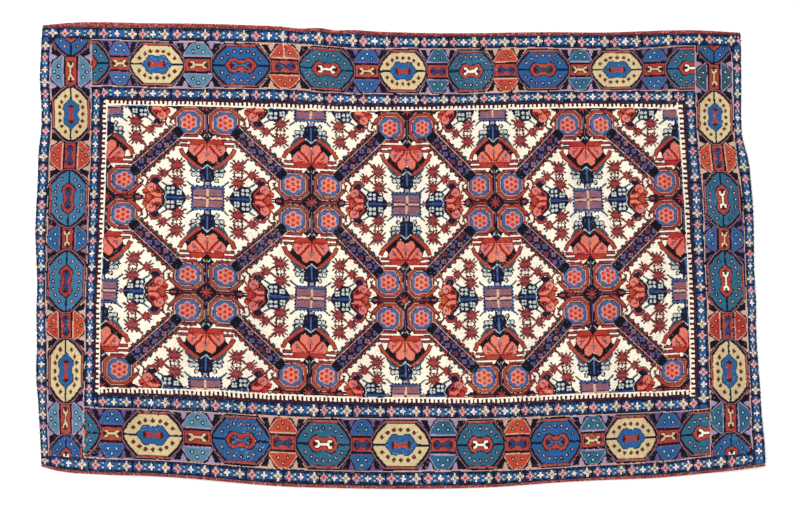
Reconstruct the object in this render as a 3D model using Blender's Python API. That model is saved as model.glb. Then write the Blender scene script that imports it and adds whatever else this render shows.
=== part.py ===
"""A knotted wool rug, long side along X, pile up, lying on the floor at Z = 0.

Five pieces: the knotted body, the two overcast selvedges along its long
sides, and the two rows of worn warp ends along its short sides.
"""

import math

import bpy
import numpy as np

# The outline is laid out as it is seen from the viewpoint below, in view
# units, and carried from there down to the floor.
VIEW_WIDTH = 800
VIEW_HEIGHT = 508
VIEW_LENS = 50.0 / 36.0 * VIEW_WIDTH
VIEW_DISTANCE = 3.15
VIEW_TILT = math.radians(5.0)

# Overall sizes, thicknesses and clearances, in metres.
BODY_LENGTH = 2.04
BODY_WIDTH = 1.29
BODY_THICKNESS = 0.007
EDGE_ROUNDING = 0.002
EDGE_INSET = 0.003
PIECE_GAP = 0.0005
SELVEDGE_HEIGHT = 0.008
SELVEDGE_SIDES = 10
STRIP_WIDTH = 0.003
STRIP_HEIGHT = 0.0022

# Fineness of the body's net, and the count of warp ends on one short side.
CELLS_ALONG = 48
CELLS_ACROSS = 28
ENDS_PER_SIDE = 84
END_WIDTH = 0.0018
END_SHORTEST = 0.003
END_LONGEST = 0.011
END_TAPER = 0.55

# The edge of the pile on each side, in view units.
FAR_PILE = {
    "along": (42, 60, 100, 150, 200, 240, 280, 300, 320, 335, 350, 380, 410, 450, 500, 550, 600, 650, 700, 741),
    "edge": (
        28.0, 27.5, 27.5, 28.0, 28.2, 29.0, 30.5, 32.4, 31.6, 34.2,
        33.8, 35.5, 36.4, 36.5, 36.5, 35.8, 35.6, 34.5, 34.0, 35.0,
    ),
}
NEAR_PILE = {
    "along": (41, 55, 100, 150, 200, 230, 280, 330, 400, 430, 500, 560, 620, 650, 700, 740, 765),
    "edge": (
        464.0, 467.8, 471.8, 473.3, 476.5, 479.4, 483.4, 484.9, 485.9,
        485.8, 484.2, 480.0, 476.6, 475.3, 471.1, 467.0, 463.5,
    ),
}
LEFT_PILE = {
    "along": (28, 50, 80, 110, 130, 150, 180, 215, 230, 260, 285, 310, 345, 380, 400, 420, 445, 464),
    "edge": (
        42.0, 41.0, 40.0, 41.8, 41.5, 38.8, 37.6, 35.6, 35.1,
        36.2, 37.0, 36.2, 36.6, 36.0, 37.8, 38.9, 40.4, 41.0,
    ),
}
RIGHT_PILE = {
    "along": (35, 60, 90, 120, 140, 152, 165, 180, 205, 230, 270, 300, 330, 360, 390, 420, 445, 463.5),
    "edge": (
        741.0, 741.2, 741.4, 741.2, 742.6, 746.0, 748.8, 750.2, 752.8,
        754.0, 754.4, 756.2, 756.4, 758.2, 760.4, 762.3, 764.4, 765.0,
    ),
}

# The width of each selvedge along its run, in metres.
FAR_SELVEDGE = {
    "along": (42, 75, 150, 240, 335, 400, 450, 500, 600, 700, 741),
    "width": (0.008, 0.015, 0.015, 0.013, 0.010, 0.012, 0.010, 0.011, 0.009, 0.011, 0.007),
}
NEAR_SELVEDGE = {
    "along": (41, 100, 200, 330, 430, 560, 650, 765),
    "width": (0.007, 0.008, 0.008, 0.009, 0.009, 0.007, 0.009, 0.007),
}

# Low waves where the cloth lifts off the floor: centre and reach in metres.
WAVES = {
    "x": (-0.31, -0.17, -1.02, 0.99, 1.03, -0.60, 0.42),
    "y": (0.66, 0.66, 0.42, 0.25, -0.60, -0.64, 0.65),
    "reach_x": (0.11, 0.12, 0.16, 0.14, 0.17, 0.26, 0.24),
    "reach_y": (0.15, 0.12, 0.24, 0.20, 0.17, 0.09, 0.09),
    "height": (0.005, 0.006, 0.005, 0.005, 0.006, 0.004, 0.004),
}


def clear_scene():
    """Removes every object of the opening scene."""
    for item in list(bpy.data.objects):
        bpy.data.objects.remove(item, do_unlink=True)


def read_table(table, column, where):
    """A smooth reading of a table's column at the places asked for."""
    keys = np.array(table["along"], float)
    values = np.array(table[column], float)
    slopes = np.gradient(values, keys)
    where = np.clip(where, keys[0], keys[-1])
    cell = np.clip(np.searchsorted(keys, where) - 1, 0, len(keys) - 2)
    span = keys[cell + 1] - keys[cell]
    t = (where - keys[cell]) / span
    start = (2 * t**3 - 3 * t**2 + 1) * values[cell] + (t**3 - 2 * t**2 + t) * span * slopes[cell]
    end = (3 * t**2 - 2 * t**3) * values[cell + 1] + (t**3 - t**2) * span * slopes[cell + 1]
    return start + end


def down_to_floor(view):
    """Floor positions, in metres, of points given in view units."""
    sideways = (view[..., 0] - VIEW_WIDTH / 2) / VIEW_LENS
    upward = (VIEW_HEIGHT / 2 - view[..., 1]) / VIEW_LENS
    height = VIEW_DISTANCE * math.cos(VIEW_TILT)
    reach = height / (math.cos(VIEW_TILT) - upward * math.sin(VIEW_TILT))
    forward = math.sin(VIEW_TILT) + upward * math.cos(VIEW_TILT)
    return np.stack([reach * sideways, reach * forward - height * math.tan(VIEW_TILT)], axis=-1)


def lift(x, y):
    """How far the cloth stands off the floor at a floor position."""
    total = np.zeros_like(x)
    for row in zip(*WAVES.values()):
        centre_x, centre_y, reach_x, reach_y, height = row
        distance = ((x - centre_x) / reach_x) ** 2 + ((y - centre_y) / reach_y) ** 2
        total = total + height * np.clip(1 - distance, 0, None) ** 2
    return total


def stations(cells, run):
    """Even stations from 0 to 1, with one more beside each end for the rounded rim."""
    rim = EDGE_INSET / run
    return np.concatenate([[0.0, rim], np.linspace(0, 1, cells + 1)[1:-1], [1 - rim, 1.0]])


def side_curve(table, ends, share, swapped):
    """View points along one side of the pile, for shares of its run."""
    along = ends[0] + (ends[1] - ends[0]) * share
    edge = read_table(table, "edge", along)
    return np.stack([edge, along] if swapped else [along, edge], axis=-1)


def body_net():
    """The body's net on the floor: an array of rows from near to far."""
    u = stations(CELLS_ALONG, BODY_LENGTH)
    v = stations(CELLS_ACROSS, BODY_WIDTH)
    near = side_curve(NEAR_PILE, (41, 765), u, False)
    far = side_curve(FAR_PILE, (42, 741), u, False)
    left = side_curve(LEFT_PILE, (464, 28), v, True)
    right = side_curve(RIGHT_PILE, (463.5, 35), v, True)
    across = u[None, :, None]
    away = v[:, None, None]
    ruled = near[None] * (1 - away) + far[None] * away
    crossed = left[:, None] * (1 - across) + right[:, None] * across
    corners = (
        near[0] * (1 - across) * (1 - away)
        + near[-1] * across * (1 - away)
        + far[0] * (1 - across) * away
        + far[-1] * across * away
    )
    return down_to_floor(ruled + crossed - corners)


def add_mesh(name, points, faces, colour, roughness):
    """Adds one piece with a material of its own."""
    mesh = bpy.data.meshes.new(name)
    mesh.from_pydata([tuple(map(float, point)) for point in points], [], faces)
    mesh.validate()
    material = bpy.data.materials.new(name + "_wool")
    material.use_nodes = True
    shader = material.node_tree.nodes["Principled BSDF"]
    shader.inputs["Base Color"].default_value = colour
    shader.inputs["Roughness"].default_value = roughness
    mesh.materials.append(material)
    piece = bpy.data.objects.new(name, mesh)
    bpy.context.scene.collection.objects.link(piece)


def make_body(net):
    """The knotted cloth: a flat slab with its upper rim rounded off."""
    rows, columns = net.shape[:2]
    base = lift(net[..., 0], net[..., 1])
    top = base + BODY_THICKNESS
    top[[0, -1], :] = base[[0, -1], :] + BODY_THICKNESS - EDGE_ROUNDING
    top[:, [0, -1]] = base[:, [0, -1]] + BODY_THICKNESS - EDGE_ROUNDING
    under = np.dstack([net, base]).reshape(-1, 3)
    over = np.dstack([net, top]).reshape(-1, 3)
    count = rows * columns
    faces = []
    for row in range(rows - 1):
        for column in range(columns - 1):
            corner = row * columns + column
            ring = (corner, corner + 1, corner + columns + 1, corner + columns)
            faces.append([index + count for index in ring])
            faces.append(ring[::-1])
    rim = list(range(columns))
    rim += [row * columns + columns - 1 for row in range(1, rows)]
    rim += [(rows - 1) * columns + column for column in range(columns - 2, -1, -1)]
    rim += [row * columns for row in range(rows - 2, 0, -1)]
    for here, there in zip(rim, rim[1:] + rim[:1]):
        faces.append([here, there, there + count, here + count])
    add_mesh("rug_body", np.concatenate([under, over]), faces, (0.42, 0.16, 0.12, 1), 0.95)


def outward(path, side):
    """Unit directions off a path on the floor, to its left (1) or right (-1)."""
    run = np.gradient(path, axis=0)
    run /= np.linalg.norm(run, axis=1, keepdims=True)
    return np.stack([-run[:, 1], run[:, 0]], axis=1) * side


def make_selvedge(name, path, widths, side):
    """An overcast edge: a rounded bar that follows the side of the pile."""
    away = outward(path, side)
    lift_here = lift(path[:, 0], path[:, 1])
    taper = np.ones(len(path))
    taper[[0, -1]] = 0.6
    points = []
    for turn in np.linspace(0, 2 * math.pi, SELVEDGE_SIDES, endpoint=False):
        offset = PIECE_GAP + widths / 2 + widths / 2 * taper * math.cos(turn)
        height = SELVEDGE_HEIGHT / 2 * (1 + taper * math.sin(turn)) + lift_here
        points.append(np.column_stack([path + away * offset[:, None], height]))
    rings = np.array(points).transpose(1, 0, 2)
    count = len(path)
    last = (count - 1) * SELVEDGE_SIDES
    faces = [
        list(range(SELVEDGE_SIDES)),
        list(range(last, last + SELVEDGE_SIDES))[::-1],
    ]
    for ring in range(count - 1):
        for index in range(SELVEDGE_SIDES):
            following = (index + 1) % SELVEDGE_SIDES
            here = ring * SELVEDGE_SIDES
            there = here + SELVEDGE_SIDES
            faces.append([here + index, there + index, there + following, here + following])
    if side > 0:
        faces = [face[::-1] for face in faces]
    add_mesh(name, rings.reshape(-1, 3), faces, (0.30, 0.09, 0.06, 1), 0.9)


def end_length(index, seed):
    """The length of one warp end: mostly short, here and there a longer one."""
    wave = math.sin(index * 12.9898 + seed) * 43758.5453
    return END_SHORTEST + (END_LONGEST - END_SHORTEST) * (wave - math.floor(wave)) ** 3


def make_ends(name, side_path, side, seed):
    """Worn warp ends standing out of a narrow strip, as one comb."""
    away = outward(side_path, side)
    run = np.concatenate([[0], np.cumsum(np.linalg.norm(np.diff(side_path, axis=0), axis=1))])
    pitch = (run[-1] - 2 * EDGE_INSET) / ENDS_PER_SIDE
    marks = []
    for index in range(ENDS_PER_SIDE):
        middle = EDGE_INSET + (index + 0.5) * pitch
        marks += [middle - END_WIDTH / 2, middle + END_WIDTH / 2]
    marks = np.array([EDGE_INSET] + marks + [run[-1] - EDGE_INSET])
    inner = np.column_stack([np.interp(marks, run, side_path[:, axis]) for axis in (0, 1)])
    normal = np.column_stack([np.interp(marks, run, away[:, axis]) for axis in (0, 1)])
    base = lift(inner[:, 0], inner[:, 1])
    points = []
    for offset, height in (
        (PIECE_GAP, 0),
        (PIECE_GAP + STRIP_WIDTH, 0),
        (PIECE_GAP + STRIP_WIDTH, STRIP_HEIGHT),
        (PIECE_GAP, STRIP_HEIGHT),
    ):
        points.append(np.column_stack([inner + normal * offset, base + height]))
    corners = np.array(points).transpose(1, 0, 2).reshape(-1, 3).tolist()
    count = len(marks)
    last = 4 * (count - 1)
    faces = [[0, 1, 2, 3], [last + 3, last + 2, last + 1, last]]
    for step in range(count - 1):
        here = 4 * step
        there = here + 4
        faces.append([here, there, there + 1, here + 1])
        faces.append([here + 2, there + 2, there + 3, here + 3])
        faces.append([here + 3, there + 3, there, here])
        outer = [here + 1, there + 1, there + 2, here + 2]
        if step % 2 == 0:
            faces.append(outer)
            continue
        root = np.array([corners[index] for index in outer])
        reach = np.append(normal[step], 0) * end_length(step, seed)
        middle = (root[0] + root[1]) / 2
        tip = middle + (root - middle) * END_TAPER + reach
        first = len(corners)
        corners += tip.tolist()
        for index in range(4):
            following = (index + 1) % 4
            faces.append([outer[index], outer[following], first + following, first + index])
        faces.append([first, first + 1, first + 2, first + 3])
    if side > 0:
        faces = [face[::-1] for face in faces]
    add_mesh(name, corners, faces, (0.70, 0.62, 0.50, 1), 0.9)


def main():
    """Builds the five pieces."""
    clear_scene()
    net = body_net()
    make_body(net)
    u = stations(CELLS_ALONG, BODY_LENGTH)
    far_widths = read_table(FAR_SELVEDGE, "width", 42 + (741 - 42) * u)
    near_widths = read_table(NEAR_SELVEDGE, "width", 41 + (765 - 41) * u)
    make_selvedge("far_selvedge", net[-1], far_widths, 1)
    make_selvedge("near_selvedge", net[0], near_widths, -1)
    make_ends("left_warp_ends", net[:, 0], 1, 0.7)
    make_ends("right_warp_ends", net[:, -1], -1, 2.9)


main()
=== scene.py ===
"""The knotted wool rug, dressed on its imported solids.

The pile is laid out knot by knot: every motif of the rug is drawn in yarn on a
chart, the knots take their yarn from the chart, and knots of one yarn that lie
side by side become one face of the pile.
"""

from __future__ import annotations

import logging
import math
from collections.abc import Callable, Sequence
from dataclasses import dataclass
from enum import Enum

import bpy
import numpy as np
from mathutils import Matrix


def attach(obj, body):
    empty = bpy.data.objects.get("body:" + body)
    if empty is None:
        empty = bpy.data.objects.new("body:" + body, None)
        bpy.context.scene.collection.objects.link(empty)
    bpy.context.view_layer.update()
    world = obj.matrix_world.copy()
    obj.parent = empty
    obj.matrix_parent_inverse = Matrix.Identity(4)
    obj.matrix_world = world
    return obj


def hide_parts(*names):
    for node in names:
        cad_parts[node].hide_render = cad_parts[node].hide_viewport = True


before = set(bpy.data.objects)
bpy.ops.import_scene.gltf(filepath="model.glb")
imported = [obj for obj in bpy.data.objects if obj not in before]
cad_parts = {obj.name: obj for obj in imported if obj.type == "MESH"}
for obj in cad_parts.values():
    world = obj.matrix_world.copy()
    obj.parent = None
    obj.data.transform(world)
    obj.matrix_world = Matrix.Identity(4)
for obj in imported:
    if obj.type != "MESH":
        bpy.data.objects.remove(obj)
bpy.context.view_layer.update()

LOG = logging.getLogger("rug")
Point = tuple[float, float]
Points = Sequence[Point]
Place = Callable[[np.ndarray], np.ndarray]
Socket = bpy.types.NodeSocket

# The photo's size in pixels, which the drawing is measured in.
PHOTO_WIDTH = 800
PHOTO_HEIGHT = 508


class Yarn(Enum):
    """The dyed yarns, as sRGB colours."""

    NAVY = "#14152e"
    BLACK = "#110d1b"
    INDIGO = "#21457c"
    BLUE = "#285a8e"
    STEEL = "#3c5f90"
    TEAL = "#2b617c"
    DEEP_TEAL = "#1f4d5e"
    SKY = "#557f98"
    AZURE = "#3b7196"
    SLATE = "#35505f"
    MADDER = "#97393a"
    BRICK = "#aa4036"
    VERMILION = "#a8352a"
    ORANGE = "#b8432f"
    SALMON = "#da7460"
    ROSE = "#dd9d98"
    BLOOD = "#881b1b"
    LILAC = "#a08aa8"
    PLUM = "#665280"
    DUSK = "#5c567a"
    GARNET = "#6b3440"
    RUST = "#a4402f"
    RUSSET = "#8f4a3c"
    MAUVE = "#8d626c"
    IVORY = "#f7ecd6"
    CREAM = "#cfbb8d"
    TAN = "#c9a08e"
    PEACH = "#d6a98c"
    BROWN = "#5c2a2a"
    MAROON = "#3f1620"
    PEARL = "#bfc6c0"
    OLIVE = "#a3763f"
    UNDYED = "#d9cfba"

    @property
    def index(self) -> int:
        """The yarn's place in the list."""
        return list(Yarn).index(self)

    @property
    def linear(self) -> tuple[float, float, float, float]:
        """The colour in linear light, with an alpha of 1."""
        shares = [int(self.value[at : at + 2], 16) / 255 for at in (1, 3, 5)]
        return (*(s / 12.92 if s <= 0.04045 else ((s + 0.055) / 1.055) ** 2.4 for s in shares), 1.0)


@dataclass(frozen=True)
class Lens:
    """The viewpoint of the photograph, above the rug and slightly to its near side."""

    focal: float = 50.0
    sensor: float = 36.0
    distance: float = 3.15
    tilt: float = math.radians(5.0)
    pile_rise: float = 0.006

    def to_floor(self, view: np.ndarray) -> np.ndarray:
        """Floor positions of points seen in the photograph.

        Args:
            view: Points in photo pixels, in an array whose last axis is (x, y).

        Returns:
            The points on the floor, in metres, in an array of the same shape.
        """
        pixels = self.focal / self.sensor * PHOTO_WIDTH
        sideways = (view[..., 0] - PHOTO_WIDTH / 2) / pixels
        upward = (PHOTO_HEIGHT / 2 - view[..., 1]) / pixels
        height = self.distance * math.cos(self.tilt)
        reach = height / (math.cos(self.tilt) - upward * math.sin(self.tilt))
        forward = math.sin(self.tilt) + upward * math.cos(self.tilt)
        return np.stack([reach * sideways, reach * forward - height * math.tan(self.tilt)], axis=-1)


@dataclass(frozen=True)
class Edge:
    """A line of the rug that runs nearly along one photo axis, read at stations."""

    along: tuple[float, ...]
    edge: tuple[float, ...]

    def at(self, where: np.ndarray) -> np.ndarray:
        """The line's offset at places along it, on a smooth curve through its stations.

        Args:
            where: Places along the line, in photo pixels.

        Returns:
            The offsets across the line's run, in photo pixels.
        """
        keys = np.array(self.along, float)
        values = np.array(self.edge, float)
        slopes = np.gradient(values, keys)
        where = np.clip(where, keys[0], keys[-1])
        cell = np.clip(np.searchsorted(keys, where) - 1, 0, len(keys) - 2)
        span = keys[cell + 1] - keys[cell]
        t = (where - keys[cell]) / span
        start = (2 * t**3 - 3 * t**2 + 1) * values[cell] + (t**3 - 2 * t**2 + t) * span * slopes[cell]
        end = (3 * t**2 - 2 * t**3) * values[cell + 1] + (t**3 - t**2) * span * slopes[cell + 1]
        return start + end

    def ends(self, back: bool = False) -> Point:
        """Where the line starts and stops, or where it stops and starts."""
        return (self.along[-1], self.along[0]) if back else (self.along[0], self.along[-1])

    def run(self, share: np.ndarray, back: bool = False) -> np.ndarray:
        """Places along the line, as shares of the way from its start, or back from its stop."""
        start, stop = self.ends(back)
        return start + (stop - start) * share


@dataclass(frozen=True)
class Waves:
    """Low waves where the cloth lifts off the floor: centres and reaches in metres."""

    x: tuple[float, ...] = (-0.31, -0.17, -1.02, 0.99, 1.03, -0.60, 0.42)
    y: tuple[float, ...] = (0.66, 0.66, 0.42, 0.25, -0.60, -0.64, 0.65)
    reach_x: tuple[float, ...] = (0.11, 0.12, 0.16, 0.14, 0.17, 0.26, 0.24)
    reach_y: tuple[float, ...] = (0.15, 0.12, 0.24, 0.20, 0.17, 0.09, 0.09)
    height: tuple[float, ...] = (0.005, 0.006, 0.005, 0.005, 0.006, 0.004, 0.004)

    def lift(self, x: np.ndarray, y: np.ndarray) -> np.ndarray:
        """How far the cloth stands off the floor at floor positions.

        Args:
            x: Positions along the rug, in metres.
            y: Positions across the rug, in metres.

        Returns:
            The heights of the underside, in metres.
        """
        total = np.zeros_like(x)
        for cx, cy, rx, ry, height in zip(self.x, self.y, self.reach_x, self.reach_y, self.height):
            total = total + height * np.clip(1 - ((x - cx) / rx) ** 2 - ((y - cy) / ry) ** 2, 0, None) ** 2
        return total


@dataclass(frozen=True)
class Frame:
    """Four lines of the rug that close a ring: far and near run along X, left and right along Y."""

    far: Edge
    near: Edge
    left: Edge
    right: Edge
    x_span: tuple[float, float]
    y_span: tuple[float, float]

    def loop(self) -> np.ndarray:
        """The ring that the four lines close.

        Returns:
            Its corners in photo pixels, far side first.
        """
        x = np.linspace(*self.x_span, 90)
        y = np.linspace(*self.y_span, 60)
        far = np.column_stack([x, self.far.at(x)])
        near = np.column_stack([x, self.near.at(x)])
        left = np.column_stack([self.left.at(y), y])
        right = np.column_stack([self.right.at(y), y])
        far = far[(far[:, 0] > left[0, 0]) & (far[:, 0] < right[0, 0])]
        near = near[(near[:, 0] > left[-1, 0]) & (near[:, 0] < right[-1, 0])]
        left = left[(left[:, 1] > far[0, 1]) & (left[:, 1] < near[0, 1])]
        right = right[(right[:, 1] > far[-1, 1]) & (right[:, 1] < near[-1, 1])]
        return np.concatenate([far, right, near[::-1], left[::-1]])


# The four sides of the pile, and the width of the overcasting along the long ones.
FAR_PILE = Edge(
    along=(42, 60, 100, 150, 200, 240, 280, 300, 320, 335, 350, 380, 410, 450, 500, 550, 600, 650, 700, 741),
    edge=(
        28.0, 27.5, 27.5, 28.0, 28.2, 29.0, 30.5, 32.4, 31.6, 34.2,
        33.8, 35.5, 36.4, 36.5, 36.5, 35.8, 35.6, 34.5, 34.0, 35.0,
    ),
)
NEAR_PILE = Edge(
    along=(41, 55, 100, 150, 200, 230, 280, 330, 400, 430, 500, 560, 620, 650, 700, 740, 765),
    edge=(
        464.0, 467.8, 471.8, 473.3, 476.5, 479.4, 483.4, 484.9, 485.9,
        485.8, 484.2, 480.0, 476.6, 475.3, 471.1, 467.0, 463.5,
    ),
)
LEFT_PILE = Edge(
    along=(28, 50, 80, 110, 130, 150, 180, 215, 230, 260, 285, 310, 345, 380, 400, 420, 445, 464),
    edge=(
        42.0, 41.0, 40.0, 41.8, 41.5, 38.8, 37.6, 35.6, 35.1,
        36.2, 37.0, 36.2, 36.6, 36.0, 37.8, 38.9, 40.4, 41.0,
    ),
)
RIGHT_PILE = Edge(
    along=(35, 60, 90, 120, 140, 152, 165, 180, 205, 230, 270, 300, 330, 360, 390, 420, 445, 463.5),
    edge=(
        741.0, 741.2, 741.4, 741.2, 742.6, 746.0, 748.8, 750.2, 752.8,
        754.0, 754.4, 756.2, 756.4, 758.2, 760.4, 762.3, 764.4, 765.0,
    ),
)
FAR_WIDTHS = Edge(
    along=(42, 75, 150, 240, 335, 400, 450, 500, 600, 700, 741),
    edge=(0.008, 0.015, 0.015, 0.013, 0.010, 0.012, 0.010, 0.011, 0.009, 0.011, 0.007),
)
NEAR_WIDTHS = Edge(
    along=(41, 100, 200, 330, 430, 560, 650, 765),
    edge=(0.007, 0.008, 0.008, 0.009, 0.009, 0.007, 0.009, 0.007),
)

# The lines that part the borders, from the outermost ring inwards.
MAIN_FRAME = Frame(
    far=Edge(
        along=(50, 100, 150, 200, 240, 280, 300, 325, 345, 400, 450, 540, 600, 650, 668, 700, 735),
        edge=(38.7, 39.5, 41, 41.5, 42.3, 43.5, 44.5, 46, 48, 48, 48.5, 47.8, 48.7, 48, 46.5, 45.5, 47.5),
    ),
    near=Edge(
        along=(48, 100, 150, 200, 250, 300, 340, 400, 450, 500, 560, 600, 650, 680, 700, 720, 740, 753),
        edge=(
            455.5, 459, 460.7, 463.6, 467.6, 470, 471.5, 472, 471.5,
            471, 468.2, 465.6, 463, 460.6, 457.8, 455.8, 453.8, 452.4,
        ),
    ),
    left=Edge(
        along=(38, 80, 100, 130, 150, 200, 215, 250, 300, 350, 380, 400, 430, 456),
        edge=(50.5, 50, 51, 51.3, 49.7, 47.3, 46.8, 46, 45.3, 46.5, 47, 46.8, 47.5, 48.5),
    ),
    right=Edge(
        along=(47, 100, 140, 160, 180, 200, 250, 300, 350, 400, 430, 452.5),
        edge=(732.5, 733.5, 734.8, 736.9, 740, 742.5, 745, 746.9, 748.6, 751, 751.9, 752.8),
    ),
    x_span=(48, 753),
    y_span=(38.7, 456),
)
INNER_FRAME = Frame(
    far=Edge(
        along=(92, 110, 150, 200, 250, 300, 320, 350, 400, 450, 500, 550, 600, 695),
        edge=(86.5, 87, 88.3, 89, 89.3, 90.5, 92.5, 94, 94.5, 94.8, 93, 91.8, 91.5, 91),
    ),
    near=Edge(
        along=(84, 100, 150, 200, 229, 250, 300, 340, 400, 500, 530, 560, 600, 650, 690, 710),
        edge=(
            406.5, 407.6, 409.4, 411.7, 413.3, 414.5, 417, 418,
            418.3, 418, 417, 416, 414.4, 412.3, 410.4, 408.5,
        ),
    ),
    left=Edge(along=(86, 150, 200, 250, 300, 350, 380, 407), edge=(92, 91, 89.2, 88, 86, 85.6, 84.8, 84)),
    right=Edge(along=(90, 140, 200, 250, 300, 350, 409), edge=(695, 697.5, 702.5, 704, 706.3, 708.3, 709.9)),
    x_span=(84, 710),
    y_span=(86.5, 408.5),
)
TEETH_FRAME = Frame(
    far=Edge(
        along=(101, 200, 250, 300, 350, 450, 500, 600, 685),
        edge=(98.7, 99.5, 101, 102.5, 105, 105, 103.2, 102, 103),
    ),
    near=Edge(
        along=(94, 150, 200, 229, 250, 300, 350, 400, 500, 560, 600, 650, 698),
        edge=(395.3, 396, 397.8, 399.5, 401, 402.9, 404.1, 404.9, 404.7, 401.8, 400.2, 398.6, 396.4),
    ),
    left=Edge(along=(98, 150, 200, 250, 300, 350, 395), edge=(101.6, 99.8, 98.5, 97, 94.9, 94.5, 94)),
    right=Edge(
        along=(102, 150, 200, 250, 300, 350, 396),
        edge=(684.5, 687.3, 690.5, 693, 695.6, 696.8, 697.5),
    ),
    x_span=(94, 698),
    y_span=(98.5, 396.5),
)
FIELD_FRAME = Frame(
    far=Edge(
        along=(107, 150, 200, 250, 300, 350, 400, 450, 500, 550, 600, 678),
        edge=(105.2, 106, 106.7, 108, 109.8, 111.5, 111, 110.3, 109.5, 108.8, 108.2, 109.3),
    ),
    near=Edge(
        along=(98, 150, 200, 229, 250, 300, 350, 400, 450, 500, 530, 560, 600, 650, 691),
        edge=(
            387.4, 388.5, 389.8, 390.7, 392.4, 395, 397, 397.7,
            397.8, 397.6, 396.2, 394.6, 393.3, 391.8, 389.7,
        ),
    ),
    left=Edge(along=(104, 150, 200, 250, 300, 350, 389), edge=(107.5, 106.7, 105, 103, 100.9, 100.2, 99.6)),
    right=Edge(along=(108, 150, 200, 250, 300, 350, 390), edge=(677, 680.4, 683.6, 686.4, 688, 689.4, 690)),
    x_span=(98, 691),
    y_span=(105, 390),
)
OUTER_FRAME = Frame(FAR_PILE, NEAR_PILE, LEFT_PILE, RIGHT_PILE, (41, 765), (28, 464))

LENS = Lens()
WAVES = Waves()

# Points of the chart to a photo pixel, how far motifs stray in pixels, how far a
# line reaches past its ends as a share of its width, and how wide its rim is.
CHART_SCALE = 3
DRIFT = 0.35
LINE_TIP = 0.35
LINE_RIM = 0.8


class Mirror(Enum):
    """Which reflections of a stroke are drawn, as signs of its two coordinates."""

    NONE = ((1, 1),)
    SIDEWAYS = ((1, 1), (-1, 1))
    UPRIGHT = ((1, 1), (1, -1))
    BOTH = ((1, 1), (-1, 1), (1, -1), (-1, -1))


NONE, SIDEWAYS, UPRIGHT, BOTH = Mirror


def drift(points: np.ndarray) -> np.ndarray:
    """How far hand-tied motifs stray from their drawing, smoothly from place to place.

    Args:
        points: Points in photo pixels.

    Returns:
        The offsets in photo pixels, in an array of the same shape.
    """
    x, y = points[..., 0], points[..., 1]
    across = np.sin(x / 3.1 + 1.3 * np.sin(y / 7.3)) + np.sin(y / 4.3 + x / 11.0)
    along = np.sin(y / 3.7 + 1.1 * np.sin(x / 6.1)) + np.sin(x / 5.2 - y / 9.0)
    return np.stack([across, along], axis=-1) * DRIFT / 2


class Chart:
    """The rug's working drawing: which yarn goes where, over the photo's own area."""

    def __init__(self, ground: Yarn) -> None:
        """Starts a chart that is open to drawing everywhere.

        Args:
            ground: The yarn that it has all over.
        """
        size = (PHOTO_HEIGHT * CHART_SCALE, PHOTO_WIDTH * CHART_SCALE)
        self.yarns = np.full(size, ground.index, np.uint8)
        self.open = np.ones(size, bool)

    def covered(self, outline: np.ndarray) -> tuple[tuple[slice, slice], np.ndarray]:
        """The part of the chart inside a closed outline.

        Args:
            outline: The outline's corners in photo pixels.

        Returns:
            The window of the chart around the outline, and which of its points are inside.
        """
        corners = outline * CHART_SCALE - 0.5
        limit = np.array(self.yarns.shape[::-1])
        low = np.clip(np.floor(corners.min(axis=0)).astype(int), 0, limit)
        high = np.clip(np.ceil(corners.max(axis=0)).astype(int) + 1, low, limit)
        inside = np.zeros(tuple((high - low)[::-1]), bool)
        columns = np.arange(low[0], high[0])
        for start, stop in zip(corners, np.roll(corners, -1, axis=0)):
            (x0, y0), (x1, y1) = (start, stop) if start[1] < stop[1] else (stop, start)
            rows = np.arange(max(math.ceil(y0), low[1]), min(math.ceil(y1), high[1]))
            if len(rows):
                at = x0 + (rows - y0) * (x1 - x0) / (y1 - y0)
                inside[rows[0] - low[1] : rows[-1] + 1 - low[1]] ^= columns[None, :] < at[:, None]
        return (slice(low[1], high[1]), slice(low[0], high[0])), inside

    def fill(self, outline: np.ndarray, yarn: Yarn) -> None:
        """Gives the open part of the chart inside an outline one yarn."""
        window, inside = self.covered(outline)
        self.yarns[window][inside & self.open[window]] = yarn.index

    def keep_between(self, outer: Frame, inner: Frame | None) -> None:
        """Opens only the ring between two frames, or all inside the outer one.

        Args:
            outer: The frame that the open part lies inside.
            inner: The frame that it lies outside, if any.
        """
        self.open[:] = False
        window, inside = self.covered(outer.loop())
        self.open[window] = inside
        if inner is not None:
            window, inside = self.covered(inner.loop())
            self.open[window] &= ~inside

    def wash(self, yarn: Yarn) -> None:
        """Gives all the open part of the chart one yarn."""
        self.yarns[self.open] = yarn.index

    def read(self, view: np.ndarray) -> tuple[np.ndarray, np.ndarray]:
        """Reads points given in photo pixels.

        Args:
            view: The points, in an array whose last axis is (x, y).

        Returns:
            Their yarns, as places in the list of yarns, and whether they are in the open part.
        """
        spots = np.floor(view * CHART_SCALE).astype(int)
        where = (spots[..., 1], spots[..., 0])
        return self.yarns[where], self.open[where]


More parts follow.
